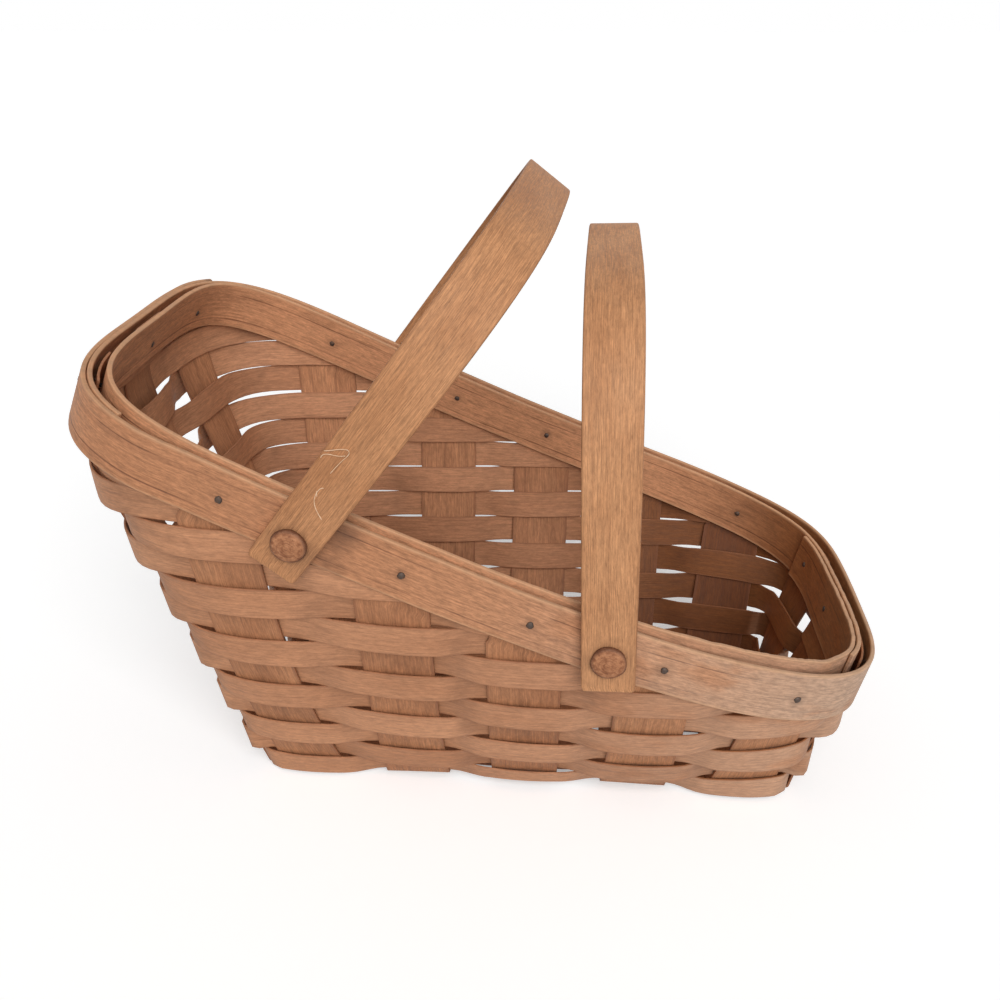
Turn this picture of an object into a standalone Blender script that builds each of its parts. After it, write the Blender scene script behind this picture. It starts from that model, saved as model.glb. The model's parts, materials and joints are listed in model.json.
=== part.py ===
# Splint gathering basket with a slanting rim and two swinging handles.
#
# The frame is in metres. The origin is on the floor under the middle of the rim, +X points to the
# low end of the rim, +Y to the back and +Z up. A place on the wall is given by u, which runs once
# round the basket from the middle of the low end by way of the back, and by its height z. A stake
# end comes at every sixteenth of u.

import math

import bmesh
import bpy
import numpy as np
from mathutils import Matrix, Vector

# Driving dimensions

BASE_LENGTH = 0.294
BASE_WIDTH = 0.1228
BASE_CORNER_RADIUS = 0.0045
BASE_FORWARD = 0.0187
BASE_ARCH = 0.0048
BASE_FLAT_LENGTH = 0.045

RIM_BACKWARD = 0.0657
RIM_LOW_REACH = 0.2626
RIM_HIGH_REACH = 0.1172
RIM_WIDTH = 0.2201
RIM_SQUARENESS = 4.3
RIM_WIDEST_HEIGHT = 0.1940
RIM_SLOPE = 0.45
RIM_LOW_LIFT = 0.0193
RIM_HIGH_LIFT = 0.0009

SIDE_BELLY_SHARE = 0.636
HIGH_END_BELLY_SHARE = -0.149
LOW_END_BELLY_SHARE = -0.45
HIGH_END_SHOULDER_SHARE = 2.3
SHOULDER_POWER = 6

STAKE_THICKNESS = 0.0013
CROSS_STAKE_COUNT = 5
CROSS_STAKE_WIDTH = 0.036
CROSS_STAKE_PITCH = 0.060
CROSS_STAKE_RIM_SHARES = (0.194, 0.400, 0.552, 0.715, 0.884)
LONG_STAKE_COUNT = 3
LONG_STAKE_WIDTH = 0.032
LONG_STAKE_PITCH = 0.041
HIGH_END_STAKE_RIM_SHARE = 0.57
LOW_END_STAKE_RIM_SHARE = 0.455
STAKE_TOP_DROP = 0.003
LAYER_MARGIN = 0.0005
LOWER_BEND = 0.0016
UPPER_BEND = 0.0029
BEND_STEPS = 3
LAST_STATION_SHARE = 0.985
FIRST_STATION_ROW = 0.5
STATION_SLANT_POWER = 12

ROW_COUNT = 14
WEAVER_WIDTH = 0.0163
WEAVER_THICKNESS = 0.0011
ROW_START = 0.0024
ROW_PITCH = 0.0164
ROW_GAP = 0.0005
LOOSE_ROW = 10
LOOSE_ROW_LIFT = 0.002
LOOSE_ROW_PLACE = 6.7
WEAVER_BULGE = 0.0010
SIDE_UPRIGHT_SHARE = 0.2
END_UPRIGHT_SHARE = 1.0
UPRIGHT_POWER = 6
CLEAR_OF_BANDS_SHARE = 0.5
SHORTEST_ROW_END = 0.003
SEAM_GAP = 0.001
EDGE_MARGIN = 0.0008
CORNER_BENDS = 3

BAND_THICKNESS = 0.0024
BAND_WIDTH = 0.0277
HIGH_END_BAND_TILT = math.radians(24.0)
LOW_END_BAND_TILT = math.radians(12.0)
ROW_TUCK = 0.008
OUTER_BAND_START = 9.5
OUTER_BAND_LAP = 2.75
INNER_BAND_START = 14.6
INNER_BAND_LAP = 2.6
LAP_RAMP = 0.4
LAP_RAMP_END = 0.08

LAYER_GAP = 0.0003
WEAVER_GAP = 0.0004
BAND_GAP = 0.0006

HANDLE_WIDTH = 0.025
HANDLE_TOP_WIDTH_SHARE = 1.05
HANDLE_THICKNESS = 0.0042
HANDLE_HEIGHT = 0.1605
HANDLE_STUB = 0.0175
HANDLE_SQUARENESS = 3.8
HANDLE_SIDE_GAP = 0.0015

HIGH_PIVOT = (-0.0760, 0.1841)
HIGH_HANDLE_LEAN = math.radians(37.0)
HIGH_AXIS_TURN = math.radians(-3.5)
HIGH_AXIS_TILT = math.radians(1.2)
LOW_PIVOT = (0.0617, 0.1268)
LOW_HANDLE_LEAN = math.radians(-1.8)
LOW_AXIS_TURN = math.radians(-1.3)
LOW_AXIS_TILT = math.radians(0.0)

PEG_RADIUS = 0.0040
PEG_HEAD_RADIUS = 0.0083
PEG_HEAD_HEIGHT = 0.0034
PEG_HEAD_RIM = 0.0012
PEG_INNER_END = 0.0025
PEG_END_CHAMFER = 0.0008

NAIL_DROP = 0.014
NAIL_RADIUS = 0.0009
NAIL_HEAD_RADIUS = 0.0020
NAIL_HEAD_HEIGHT = 0.0006
NAIL_CLINCH_RADIUS = 0.0017
NAIL_GAP = 0.0006
BORE_GAP = 0.0003

SPLINT_COLOUR = (0.42, 0.22, 0.12)
STAKE_COLOUR = (0.36, 0.18, 0.10)
BAND_COLOUR = (0.45, 0.23, 0.12)
HANDLE_COLOUR = (0.50, 0.26, 0.11)
PEG_COLOUR = (0.30, 0.12, 0.06)
NAIL_COLOUR = (0.09, 0.08, 0.07)

# Sizes worked out from the driving dimensions

STAKE_END_COUNT = 2 * (CROSS_STAKE_COUNT + LONG_STAKE_COUNT)
WEAVER_OFFSET = STAKE_THICKNESS / 2 + WEAVER_GAP + WEAVER_THICKNESS / 2
BAND_OFFSET = WEAVER_OFFSET + WEAVER_THICKNESS / 2 + BAND_GAP + BAND_THICKNESS / 2
BAND_LAYER_STEP = BAND_THICKNESS + LAYER_GAP
RIM_LENGTH = RIM_LOW_REACH + RIM_HIGH_REACH
LOWER_LAYER = STAKE_THICKNESS / 2
UPPER_LAYER = LOWER_LAYER + STAKE_THICKNESS + LAYER_GAP
HANDLE_INNER_FACE = RIM_WIDTH / 2 + BAND_OFFSET + BAND_THICKNESS / 2 + HANDLE_SIDE_GAP
HANDLE_OUTER_FACE = HANDLE_INNER_FACE + HANDLE_THICKNESS

# The wall surface

LOOP_SAMPLES = 1441
CORNER_SAMPLES = 9
ALONG_STEP = 2e-4
UP_STEP = 5e-4


def superellipse(angle, half_length, half_width, squareness):
    """Points of a soft rectangle, whose corners are tighter the higher its squareness is."""
    cosine, sine = np.cos(angle), np.sin(angle)
    power = 2 / squareness
    x = half_length * np.sign(cosine) * np.abs(cosine) ** power
    y = half_width * np.sign(sine) * np.abs(sine) ** power
    return x, y


def rounded_rectangle(length, width, radius):
    """The outline of a rectangle with round corners, from the middle of its low end by the back."""
    x, y = [length / 2], [0.0]
    for quarter, (side_x, side_y) in enumerate(((1, 1), (-1, 1), (-1, -1), (1, -1))):
        angles = math.pi / 2 * (quarter + np.linspace(0, 1, CORNER_SAMPLES))
        x += list(side_x * (length / 2 - radius) + radius * np.cos(angles))
        y += list(side_y * (width / 2 - radius) + radius * np.sin(angles))
    return np.array(x + [length / 2]), np.array(y + [0.0])


def rim_outline():
    """The rim seen from above, from its widest place: long towards the low end, short to the high."""
    angles = np.linspace(0, 2 * math.pi, LOOP_SAMPLES)
    x, y = superellipse(angles, 1, RIM_WIDTH / 2, RIM_SQUARENESS)
    return x * np.where(x < 0, RIM_HIGH_REACH, RIM_LOW_REACH), y


class Loop:
    """A closed outline, measured by its length between one stake end and the next."""

    def __init__(self, outline, side_places, low_place, high_place):
        self.x, self.y = outline
        self.lengths = np.concatenate([[0], np.cumsum(np.hypot(np.diff(self.x), np.diff(self.y)))])
        back = [self.length_at(x, back=True) for x in reversed(side_places)]
        high = [self.end_length_at(y) for y in (high_place, 0.0, -high_place)]
        front = [self.length_at(x, back=False) for x in side_places]
        low = [self.low_end_length_at(low_place), self.lengths[-1] - self.low_end_length_at(low_place)]
        self.stake_lengths = np.array([0, low[0], *back, *high, *front, low[1], self.lengths[-1]])

    def length_at(self, x, back):
        """The length from the start to the place at x on a long side."""
        side = self.y > 0 if back else self.y < 0
        order = np.argsort(self.x[side])
        return np.interp(x, self.x[side][order], self.lengths[side][order])

    def end_length_at(self, y):
        """The length from the start to the place at y on the high end."""
        high = self.x < self.x.min() / 2
        order = np.argsort(self.y[high])
        return np.interp(y, self.y[high][order], self.lengths[high][order])

    def low_end_length_at(self, y):
        """The length from the start to the place at y on the back half of the low end."""
        first = (self.x > self.x.max() / 2) & (self.lengths < self.lengths[-1] / 2)
        return np.interp(y, self.y[first], self.lengths[first])

    def point(self, u):
        stake_places = np.linspace(0, 1, STAKE_END_COUNT + 1)
        length = np.interp(np.mod(u, 1.0), stake_places, self.stake_lengths)
        return np.interp(length, self.lengths, self.x), np.interp(length, self.lengths, self.y)


def cross_stake_x(index):
    return BASE_FORWARD + (index - (CROSS_STAKE_COUNT - 1) / 2) * CROSS_STAKE_PITCH


def long_stake_y(index):
    return (index - (LONG_STAKE_COUNT - 1) / 2) * LONG_STAKE_PITCH


BASE_LOOP = Loop(rounded_rectangle(BASE_LENGTH, BASE_WIDTH, BASE_CORNER_RADIUS),
                 [cross_stake_x(index) - BASE_FORWARD for index in range(CROSS_STAKE_COUNT)],
                 LONG_STAKE_PITCH, LONG_STAKE_PITCH)
RIM_LOOP = Loop(rim_outline(),
                [share * RIM_LENGTH - RIM_HIGH_REACH for share in CROSS_STAKE_RIM_SHARES],
                LOW_END_STAKE_RIM_SHARE * RIM_WIDTH / 2, HIGH_END_STAKE_RIM_SHARE * RIM_WIDTH / 2)


def rim_share(u):
    """How far along the rim u is: -1 at the high end, 0 where it is widest, 1 at the low end."""
    x = RIM_LOOP.point(u)[0]
    return x / np.where(x < 0, RIM_HIGH_REACH, RIM_LOW_REACH)


def rim_height(u):
    x, share = RIM_LOOP.point(u)[0], rim_share(u)
    lift = np.where(share < 0, RIM_HIGH_LIFT, RIM_LOW_LIFT)
    return RIM_WIDEST_HEIGHT - RIM_SLOPE * x + lift * share ** 2


def rim_point(u):
    x, y = RIM_LOOP.point(u)
    return x - RIM_BACKWARD, y, rim_height(u)


def band_foot_point(u):
    """The lower edge of the rim bands, which lean towards the low end, most of all at the high end."""
    x, y, z = rim_point(u)
    tilt = np.interp(rim_share(u), (-1, 1), (HIGH_END_BAND_TILT, LOW_END_BAND_TILT))
    return x - BAND_WIDTH * np.sin(tilt), y, z - BAND_WIDTH * np.cos(tilt)


def band_foot(u):
    """The height of the lower edge of the rim bands."""
    return band_foot_point(u)[2]


def tuck_height(u):
    """The height at which the rows are cut off behind the bands."""
    return band_foot(u) + ROW_TUCK


def base_arch(x):
    """How far the base is arched off the floor: not at all under the outermost cross stakes."""
    half_span = BASE_LENGTH / 2 - BASE_FLAT_LENGTH
    return BASE_ARCH * np.clip(1 - ((x - BASE_FORWARD) / half_span) ** 2, 0, None)


def belly_curve(rise, belly, shoulder):
    """How far out the wall is at each share of its rise, with a shoulder close under the bands."""
    return rise + (belly * rise + shoulder * rise ** SHOULDER_POWER) * (1 - rise)


def surface_point(u, z):
    """A point at height z on the wall's middle surface, which is straight upwards in the bands."""
    u, z = np.broadcast_arrays(np.asarray(u, float), np.asarray(z, float))
    base_x, base_y = BASE_LOOP.point(u)
    foot_x, foot_y, foot_z = band_foot_point(u)
    rim_x, rim_y, rim_z = rim_point(u)
    share = rim_share(u)
    end_belly = np.where(share < 0, HIGH_END_BELLY_SHARE, LOW_END_BELLY_SHARE)
    belly = SIDE_BELLY_SHARE + (end_belly - SIDE_BELLY_SHARE) * share ** 4
    shoulder = np.where(share < 0, HIGH_END_SHOULDER_SHARE, 0) * share ** 4
    reach = belly_curve(np.minimum(z / foot_z, 1), belly, shoulder)
    past_foot = np.clip((z - foot_z) / (rim_z - foot_z), 0, None)
    x = base_x + BASE_FORWARD + (foot_x - base_x - BASE_FORWARD) * reach + (rim_x - foot_x) * past_foot
    y = base_y + (foot_y - base_y) * reach + (rim_y - foot_y) * past_foot
    return np.stack([x, y, z], axis=-1)


def wall_directions(u, z):
    """The directions along the wall and up it, and the one that points straight out of it."""
    along = surface_point(u + ALONG_STEP, z) - surface_point(u - ALONG_STEP, z)
    up = surface_point(u, z + UP_STEP) - surface_point(u, z - UP_STEP)
    outward = np.cross(along, up)
    return along, up, outward / np.linalg.norm(outward, axis=-1, keepdims=True)


def wall_point(u, z, offset=0.0):
    """A point at height z that stands off the wall's middle surface, outwards when positive."""
    outward = wall_directions(u, z)[2] * [1, 1, 0]
    level_share = np.sum(outward ** 2, axis=-1, keepdims=True)
    return surface_point(u, z) + outward / level_share * offset


def beside(u, z, distance):
    """The place at this distance along the wall from u, at height z."""
    step = math.copysign(ALONG_STEP / 2, distance)
    speed = np.linalg.norm(surface_point(u + step, z) - surface_point(u, z), axis=-1) / abs(step)
    return u + distance / speed


def beside_or_at(u, z, distance):
    return float(beside(u, z, distance)) if distance else u


def uprightness(u):
    """How much of the wall's lean the weavers leave out, most of all round the two ends."""
    return SIDE_UPRIGHT_SHARE + (END_UPRIGHT_SHARE - SIDE_UPRIGHT_SHARE) * rim_share(u) ** UPRIGHT_POWER


def upright_share(u, z):
    """The cosine of the wall's lean, which is the height gained for each length straight up it."""
    return np.linalg.norm(wall_directions(u, z)[2][..., :2], axis=-1)


def weaver_upright_share(u, z):
    """The same for a weaver, which stands more upright than the wall that it goes round."""
    lean = np.arccos(upright_share(u, z))
    return np.cos(np.arctan((1 - uprightness(u)) * np.tan(lean)))


def lean_between(u, low, high):
    """How far out the wall leans from one height to another, or nothing where it leans back in."""
    step = surface_point(u, high) - surface_point(u, low)
    return max(float(step @ (wall_directions(u, (low + high) / 2)[2] * [1, 1, 0])), 0.0)


def row_foot(row, u):
    """The height of a row's lower edge, which is lifted at one corner in the loosest rows."""
    away = u * STAKE_END_COUNT - LOOSE_ROW_PLACE
    return ROW_START + row * ROW_PITCH + LOOSE_ROW_LIFT * np.exp(-away ** 2) * (row >= LOOSE_ROW)


# Scene, collections and materials

for leftover in list(bpy.data.objects):
    bpy.data.objects.remove(leftover)

parts = bpy.data.collections.new("mushroom_foraging_basket")
cutters = bpy.data.collections.new("cutters")
bpy.context.scene.collection.children.link(parts)
bpy.context.scene.collection.children.link(cutters)


def wood(name, colour, roughness=0.6, metallic=0.0):
    material = bpy.data.materials.new(name)
    material.use_nodes = True
    shader = material.node_tree.nodes["Principled BSDF"]
    shader.inputs["Base Color"].default_value = (*colour, 1.0)
    shader.inputs["Roughness"].default_value = roughness
    shader.inputs["Metallic"].default_value = metallic
    return material


def add_part(name, mesh, colour, roughness=0.6, metallic=0.0):
    part = bpy.data.objects.new(name, mesh)
    part.data.materials.append(wood(name, colour, roughness, metallic))
    parts.objects.link(part)
    return part


# Shape helpers

def ribbon(name, points, thickness, colour):
    """A thin strip of wood through points, given as stations along it by places across it."""
    stations, places = points.shape[0], points.shape[1]
    sheet = bmesh.new()
    bmesh.ops.create_grid(sheet, x_segments=stations - 1, y_segments=places - 1, size=1)
    for vertex in sheet.verts:
        station = round((vertex.co.x + 1) / 2 * (stations - 1))
        place = round((vertex.co.y + 1) / 2 * (places - 1))
        vertex.co = points[station, place]
    mesh = bpy.data.meshes.new(name)
    sheet.to_mesh(mesh)
    sheet.free()
    mesh.shade_smooth()
    mesh.set_sharp_from_angle(angle=math.radians(40))
    part = add_part(name, mesh, colour)
    solidify = part.modifiers.new("thickness", "SOLIDIFY")
    solidify.thickness = thickness
    solidify.offset = 0
    return part


def turned(name, profile, steps, matrix, colour, roughness, metallic=0.0):
    """A round piece from a profile of (radius, height) points that runs from its top to its foot."""
    outline = bmesh.new()
    vertices = [outline.verts.new((radius, 0, height)) for radius, height in profile]
    for first, second in zip(vertices, vertices[1:]):
        outline.edges.new((first, second))
    mesh = bpy.data.meshes.new(name)
    outline.to_mesh(mesh)
    outline.free()
    part = add_part(name, mesh, colour, roughness, metallic)
    part.matrix_world = matrix
    screw = part.modifiers.new("turn", "SCREW")
    screw.steps = steps
    screw.render_steps = steps
    screw.use_merge_vertices = True
    screw.merge_threshold = 0.00001
    screw.use_smooth_shade = False
    return part


def rod_cutter(name, rods, radius, segments):
    """One cutter made of a straight rod for each (middle, direction, length)."""
    cutter_mesh = bmesh.new()
    for middle, direction, length in rods:
        turn = Vector(direction).to_track_quat("Z", "Y").to_matrix().to_4x4()
        bmesh.ops.create_cone(cutter_mesh, cap_ends=True, segments=segments, radius1=radius,
                              radius2=radius, depth=length, matrix=Matrix.Translation(middle) @ turn)
    mesh = bpy.data.meshes.new(name)
    cutter_mesh.to_mesh(mesh)
    cutter_mesh.free()
    cutter = bpy.data.objects.new(name, mesh)
    cutter.hide_render = True
    cutter.display_type = "WIRE"
    cutters.objects.link(cutter)
    return cutter


def cut(part, cutter):
    boolean = part.modifiers.new(cutter.name, "BOOLEAN")
    boolean.operation = "DIFFERENCE"
    boolean.object = cutter


# Stakes: the wide strips that are interlaced in the base and stand up in the walls

def stake_heights(places, feet):
    """The heights of a stake's stations up the wall, each given for the places across it.

    They are its feet, the first row's middle, where one row gives way to the next, the lower edge
    of the bands and its top. They slant as the bands do close under them, and are level lower down.
    """
    feet = np.array(feet)
    band_feet = band_foot(np.array(places))
    tops = rim_height(np.array(places)) - STAKE_TOP_DROP
    between = []
    for row in (FIRST_STATION_ROW, *range(1, ROW_COUNT)):
        level = row_foot(row, np.array(places))
        share = (level[1] - feet[1]) / (band_feet[1] - feet[1])
        if share < LAST_STATION_SHARE:
            slanted = feet + (band_feet - feet) * share
            between.append(level + (slanted - level) * share ** STATION_SLANT_POWER)
    return [feet, *between, band_feet, tops]


def wall_stations(stake_end, width, direction, feet):
    """Stations up the wall at one stake end, each with three places across the stake.

    The places run the way u runs when direction is 1, and the other way when it is -1.
    """
    u = stake_end / STAKE_END_COUNT
    distances = (-width / 2 * direction, 0.0, width / 2 * direction)
    places = [beside_or_at(u, float(band_foot(u)), distance) for distance in distances]
    stations = []
    for heights in stake_heights(places, feet):
        stations.append([wall_point(beside_or_at(u, height, distance), height)
                         for height, distance in zip(heights, distances)])
    return stations


def wall_line(stake_end, width, direction, base_end):
    """Where the wall, carried on down, would meet the level of the base at this stake end."""
    u = stake_end / STAKE_END_COUNT
    corner = []
    for distance, base_place in zip((-width / 2, 0.0, width / 2), base_end):
        place = beside_or_at(u, base_place[2], direction * distance)
        corner.append(wall_point(place, base_place[2]))
    return corner


def bend_stations(base_end, wall_foot, corner):
    """Stations round the bend from the base up into the wall, without its two ends."""
    stations = []
    for step in range(1, BEND_STEPS):
        t = step / BEND_STEPS
        stations.append([(1 - t) ** 2 * start + 2 * t * (1 - t) * middle + t ** 2 * end
                         for start, middle, end in zip(base_end, corner, wall_foot)])
    return stations


def stake_points(base_run, first_end, last_end, width, first_low, last_low):
    """The whole stake: down one wall, across the base and up the other wall."""
    walls = []
    for stake_end, direction, low, base_end in ((first_end, 1, first_low, base_run[0]),
                                                (last_end, -1, last_low, base_run[-1])):
        bend = LOWER_BEND if low else UPPER_BEND
        feet = [float(place[2]) + bend for place in base_end]
        wall = wall_stations(stake_end, width, direction, feet)
        corner = wall_line(stake_end, width, direction, base_end)
        walls.append((bend_stations(base_end, wall[0], corner), wall))
    (first_bend, first_wall), (last_bend, last_wall) = walls
    return np.array(first_wall[::-1] + first_bend[::-1] + base_run + last_bend + last_wall)


def layer_height(upper):
    return UPPER_LAYER if upper else LOWER_LAYER


def cross_stake(index):
    """A stake that runs up the front, from front to back through the base, and up the back."""
    centre = cross_stake_x(index)
    places = [centre - CROSS_STAKE_WIDTH / 2, centre, centre + CROSS_STAKE_WIDTH / 2]
    run = []
    outermost_upper = index % 2 == 0
    edge = BASE_WIDTH / 2 - (UPPER_BEND if outermost_upper else LOWER_BEND)
    run.append((-edge, outermost_upper))
    for crossing in range(LONG_STAKE_COUNT):
        reach = LONG_STAKE_WIDTH / 2 + LAYER_MARGIN
        upper = (index + crossing) % 2 == 0
        run.append((long_stake_y(crossing) - reach, upper))
        run.append((long_stake_y(crossing) + reach, upper))
    run.append((edge, outermost_upper))
    base_run = [[np.array([x, y, layer_height(upper) + base_arch(x)]) for x in places] for y, upper in run]
    front_end = STAKE_END_COUNT * 3 // 4 + index - CROSS_STAKE_COUNT // 2
    back_end = STAKE_END_COUNT // 4 - index + CROSS_STAKE_COUNT // 2
    return stake_points(base_run, front_end, back_end, CROSS_STAKE_WIDTH,
                        not outermost_upper, not outermost_upper)


def long_stake(index):
    """A stake that runs up the high end, lengthwise through the base, and up the low end."""
    centre = long_stake_y(index)
    places = [centre + LONG_STAKE_WIDTH / 2, centre, centre - LONG_STAKE_WIDTH / 2]
    run = []
    outermost_upper = index % 2 == 1
    edge = BASE_LENGTH / 2 - (UPPER_BEND if outermost_upper else LOWER_BEND)
    run.append((BASE_FORWARD - edge, outermost_upper))
    for crossing in range(CROSS_STAKE_COUNT):
        reach = CROSS_STAKE_WIDTH / 2 + LAYER_MARGIN
        upper = (index + crossing) % 2 == 1
        run.append((cross_stake_x(crossing) - reach, upper))
        run.append((cross_stake_x(crossing), upper))
        run.append((cross_stake_x(crossing) + reach, upper))
    run.append((BASE_FORWARD + edge, outermost_upper))
    base_run = [[np.array([x, y, layer_height(upper) + base_arch(x)]) for y in places] for x, upper in run]
    high_end = STAKE_END_COUNT // 2 - index + LONG_STAKE_COUNT // 2
    low_end = (index - LONG_STAKE_COUNT // 2) % STAKE_END_COUNT
    return stake_points(base_run, high_end, low_end, LONG_STAKE_WIDTH,
                        not outermost_upper, not outermost_upper)


stakes = []
for number in range(CROSS_STAKE_COUNT):
    stakes.append(ribbon(f"cross_stake_{number + 1}", cross_stake(number), STAKE_THICKNESS, STAKE_COLOUR))
for number in range(LONG_STAKE_COUNT):
    stakes.append(ribbon(f"long_stake_{number + 1}", long_stake(number), STAKE_THICKNESS, STAKE_COLOUR))


# Weavers: the narrow strips that go round the wall in rows, outside one stake and inside the next

def stake_width(stake_end):
    """The width of the stake that ends here: long stakes stand in the two end walls."""
    from_end_middle = min(stake_end % (STAKE_END_COUNT // 2), -stake_end % (STAKE_END_COUNT // 2))
    return LONG_STAKE_WIDTH if from_end_middle <= LONG_STAKE_COUNT // 2 else CROSS_STAKE_WIDTH


def row_edges(row, u):
    """The heights of a row's two edges at u, cut off where the row is tucked behind the bands."""
    foot = row_foot(row, u)
    rise = WEAVER_WIDTH * weaver_upright_share(u, foot + WEAVER_WIDTH / 2)
    head = foot + np.minimum(rise, ROW_PITCH - ROW_GAP)
    if row == 0:
        foot = foot + base_arch(surface_point(u, 0.0)[..., 0])
    return foot, np.minimum(head, tuck_height(u))


def row_span(row):
    """Where a row starts and ends: behind a front stake, or where the bands take its last width."""
    places = np.linspace(0, 1, LOOP_SAMPLES)
    foot, head = row_edges(row, places)
    shown = places[head - foot > SHORTEST_ROW_END]
    if len(shown) < LOOP_SAMPLES:
        return float(shown[0]), float(shown[-1])
    seam_stake = STAKE_END_COUNT * 3 // 4 - 1 + row % 2
    seam = seam_stake / STAKE_END_COUNT
    half_gap = beside(seam, float(row_foot(row, seam)), SEAM_GAP / 2) - seam
    return float(seam + half_gap), float(seam + 1 - half_gap)


def stake_sides(stake_end, height):
    """The two places where a strip round the wall comes level with the edges of a stake."""
    centre = stake_end / STAKE_END_COUNT
    reach = stake_width(stake_end) / 2 + EDGE_MARGIN
    return float(beside(centre, height, -reach)), float(beside(centre, height, reach))


def gap_places(stake_end, after, before_next):
    """The places where a strip bends round the corner past a stake, with how much is crossed.

    The corners lie between a cross stake and a long one, and every other gap is crossed straight.
    """
    if stake_width(stake_end) == stake_width(stake_end + 1):
        return []
    crossed = np.arange(1, CORNER_BENDS + 1) / (CORNER_BENDS + 1)
    return list(zip(after + (before_next - after) * crossed, crossed))


def row_stations(row):
    """The places along a row where it bends, each with its share of the weave's full offset."""
    start, end = row_span(row)
    stations = []
    for stake_end in range(-1, 2 * STAKE_END_COUNT):
        side = 1 if (stake_end + row) % 2 == 0 else -1
        centre, following = stake_end / STAKE_END_COUNT, (stake_end + 1) / STAKE_END_COUNT
        before, after = stake_sides(stake_end, row_foot(row, centre % 1.0) + WEAVER_WIDTH / 2)
        before_next = stake_sides(stake_end + 1, row_foot(row, following % 1.0) + WEAVER_WIDTH / 2)[0]
        stations += [(before, side, 0.0), (centre, side, 1.0), (after, side, 0.0)]
        for place, crossed in gap_places(stake_end, after, before_next):
            stations.append((place, side * math.cos(math.pi * crossed), 0.0))
    inside = [station for station in stations if start < station[0] < end]
    if end - start < 1 - 1 / STAKE_END_COUNT:
        return inside
    return [blend(stations, start)] + inside + [blend(stations, end)]


def blend(stations, place):
    """The station at a place that lies between two others."""
    places = [station[0] for station in stations]
    side = float(np.interp(place, places, [station[1] for station in stations]))
    bulge = float(np.interp(place, places, [station[2] for station in stations]))
    return place, side, bulge


def weaver_points(row):
    points = []
    bends_upwards = row == 0 or row_edges(row, 0.0)[1] > band_foot(0.0)
    for place, side, bulge in row_stations(row):
        u = place % 1.0
        foot, head = (float(height) for height in row_edges(row, np.array(u)))
        band = float(band_foot(u))
        free_share = min(max((band - head) / WEAVER_WIDTH, 0.0), 1.0)
        clear_share = min(max((band - head) / WEAVER_WIDTH - CLEAR_OF_BANDS_SHARE, 0.0), 1.0)
        offset = side * (WEAVER_OFFSET + WEAVER_BULGE * bulge * free_share)
        middle = band if foot < band < head else (foot + head) / 2
        across = []
        for height in (foot, middle, head):
            out = (1 + side) / 2 * lean_between(u, min(height, band), min(head, band))
            into = (1 - side) / 2 * lean_between(u, foot, height) * clear_share
            across.append(wall_point(u, height, offset + uprightness(u) * (out - into)))
        if row > 0 and middle != band:
            across[1] = (across[0] + across[2]) / 2
        points.append(across if bends_upwards else [across[0], across[2]])
    return np.array(points)


for row in range(ROW_COUNT):
    ribbon(f"weaver_row_{row + 1:02d}", weaver_points(row), WEAVER_THICKNESS, SPLINT_COLOUR)


# Rim bands: an outer and an inner hoop that clasp the stakes, each lapped over its own start

def rim_places():
    """The places, counted in stakes, where the bands bend on one round of the rim."""
    places = []
    for stake_end in range(STAKE_END_COUNT):
        height = float(band_foot(stake_end / STAKE_END_COUNT)) + BAND_WIDTH / 2
        before, after = stake_sides(stake_end, height)
        following = (stake_end + 1) / STAKE_END_COUNT
        before_next = stake_sides(stake_end + 1, float(band_foot(following)) + BAND_WIDTH / 2)[0]
        places += [before, stake_end / STAKE_END_COUNT, after]
        places += [place for place, crossed in gap_places(stake_end, after, before_next)]
    return np.mod(places, 1.0) * STAKE_END_COUNT


def band_steps(start, lap, direction):
    """How many stakes from its start a band bends: at the same places in both its layers."""
    first_round = np.mod(direction * (rim_places() - start), STAKE_END_COUNT)
    ramp = [STAKE_END_COUNT - LAP_RAMP, STAKE_END_COUNT - LAP_RAMP_END]
    steps = {0.0, *first_round, *(first_round + STAKE_END_COUNT), *ramp, STAKE_END_COUNT, STAKE_END_COUNT + lap}
    return [step for step in sorted(steps) if step <= STAKE_END_COUNT + lap]


def band_points(start, lap, direction, offset_sign):
    """A hoop that starts at a stake place, goes once round and laps over its own start."""
    points = []
    for step in band_steps(start, lap, direction):
        u = (start + direction * step) / STAKE_END_COUNT % 1.0
        layer = np.interp(step, [STAKE_END_COUNT - LAP_RAMP, STAKE_END_COUNT - LAP_RAMP_END], [0, 1])
        offset = offset_sign * (BAND_OFFSET + layer * BAND_LAYER_STEP)
        points.append([wall_point(u, height, offset) for height in (float(band_foot(u)), float(rim_height(u)))])
    return np.array(points)


outer_band = ribbon("outer_rim_band", band_points(OUTER_BAND_START, OUTER_BAND_LAP, -1, 1),
                    BAND_THICKNESS, BAND_COLOUR)
inner_band = ribbon("inner_rim_band", band_points(INNER_BAND_START, INNER_BAND_LAP, 1, -1),
                    BAND_THICKNESS, BAND_COLOUR)


# Nails: one through the bands at every stake end, clinched on the inside

NAIL_SIDES = 6


def lapped(place, start, lap, direction):
    """Whether a band has two layers at this stake place."""
    past_start = (direction * (place - start)) % STAKE_END_COUNT
    return past_start < lap


def nail_axis(stake_end):
    """The nail's place, its outward direction and how far it reaches outwards and inwards."""
    u = stake_end / STAKE_END_COUNT
    height = float(rim_height(u)) - NAIL_DROP
    outward = Vector(wall_directions(u, height)[2])
    face = BAND_OFFSET + BAND_THICKNESS / 2 + NAIL_GAP
    outer = face + BAND_LAYER_STEP * lapped(stake_end, OUTER_BAND_START, OUTER_BAND_LAP, -1)
    inner = face + BAND_LAYER_STEP * lapped(stake_end, INNER_BAND_START, INNER_BAND_LAP, 1)
    return Vector(surface_point(u, height)), outward, outer, inner


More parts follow.
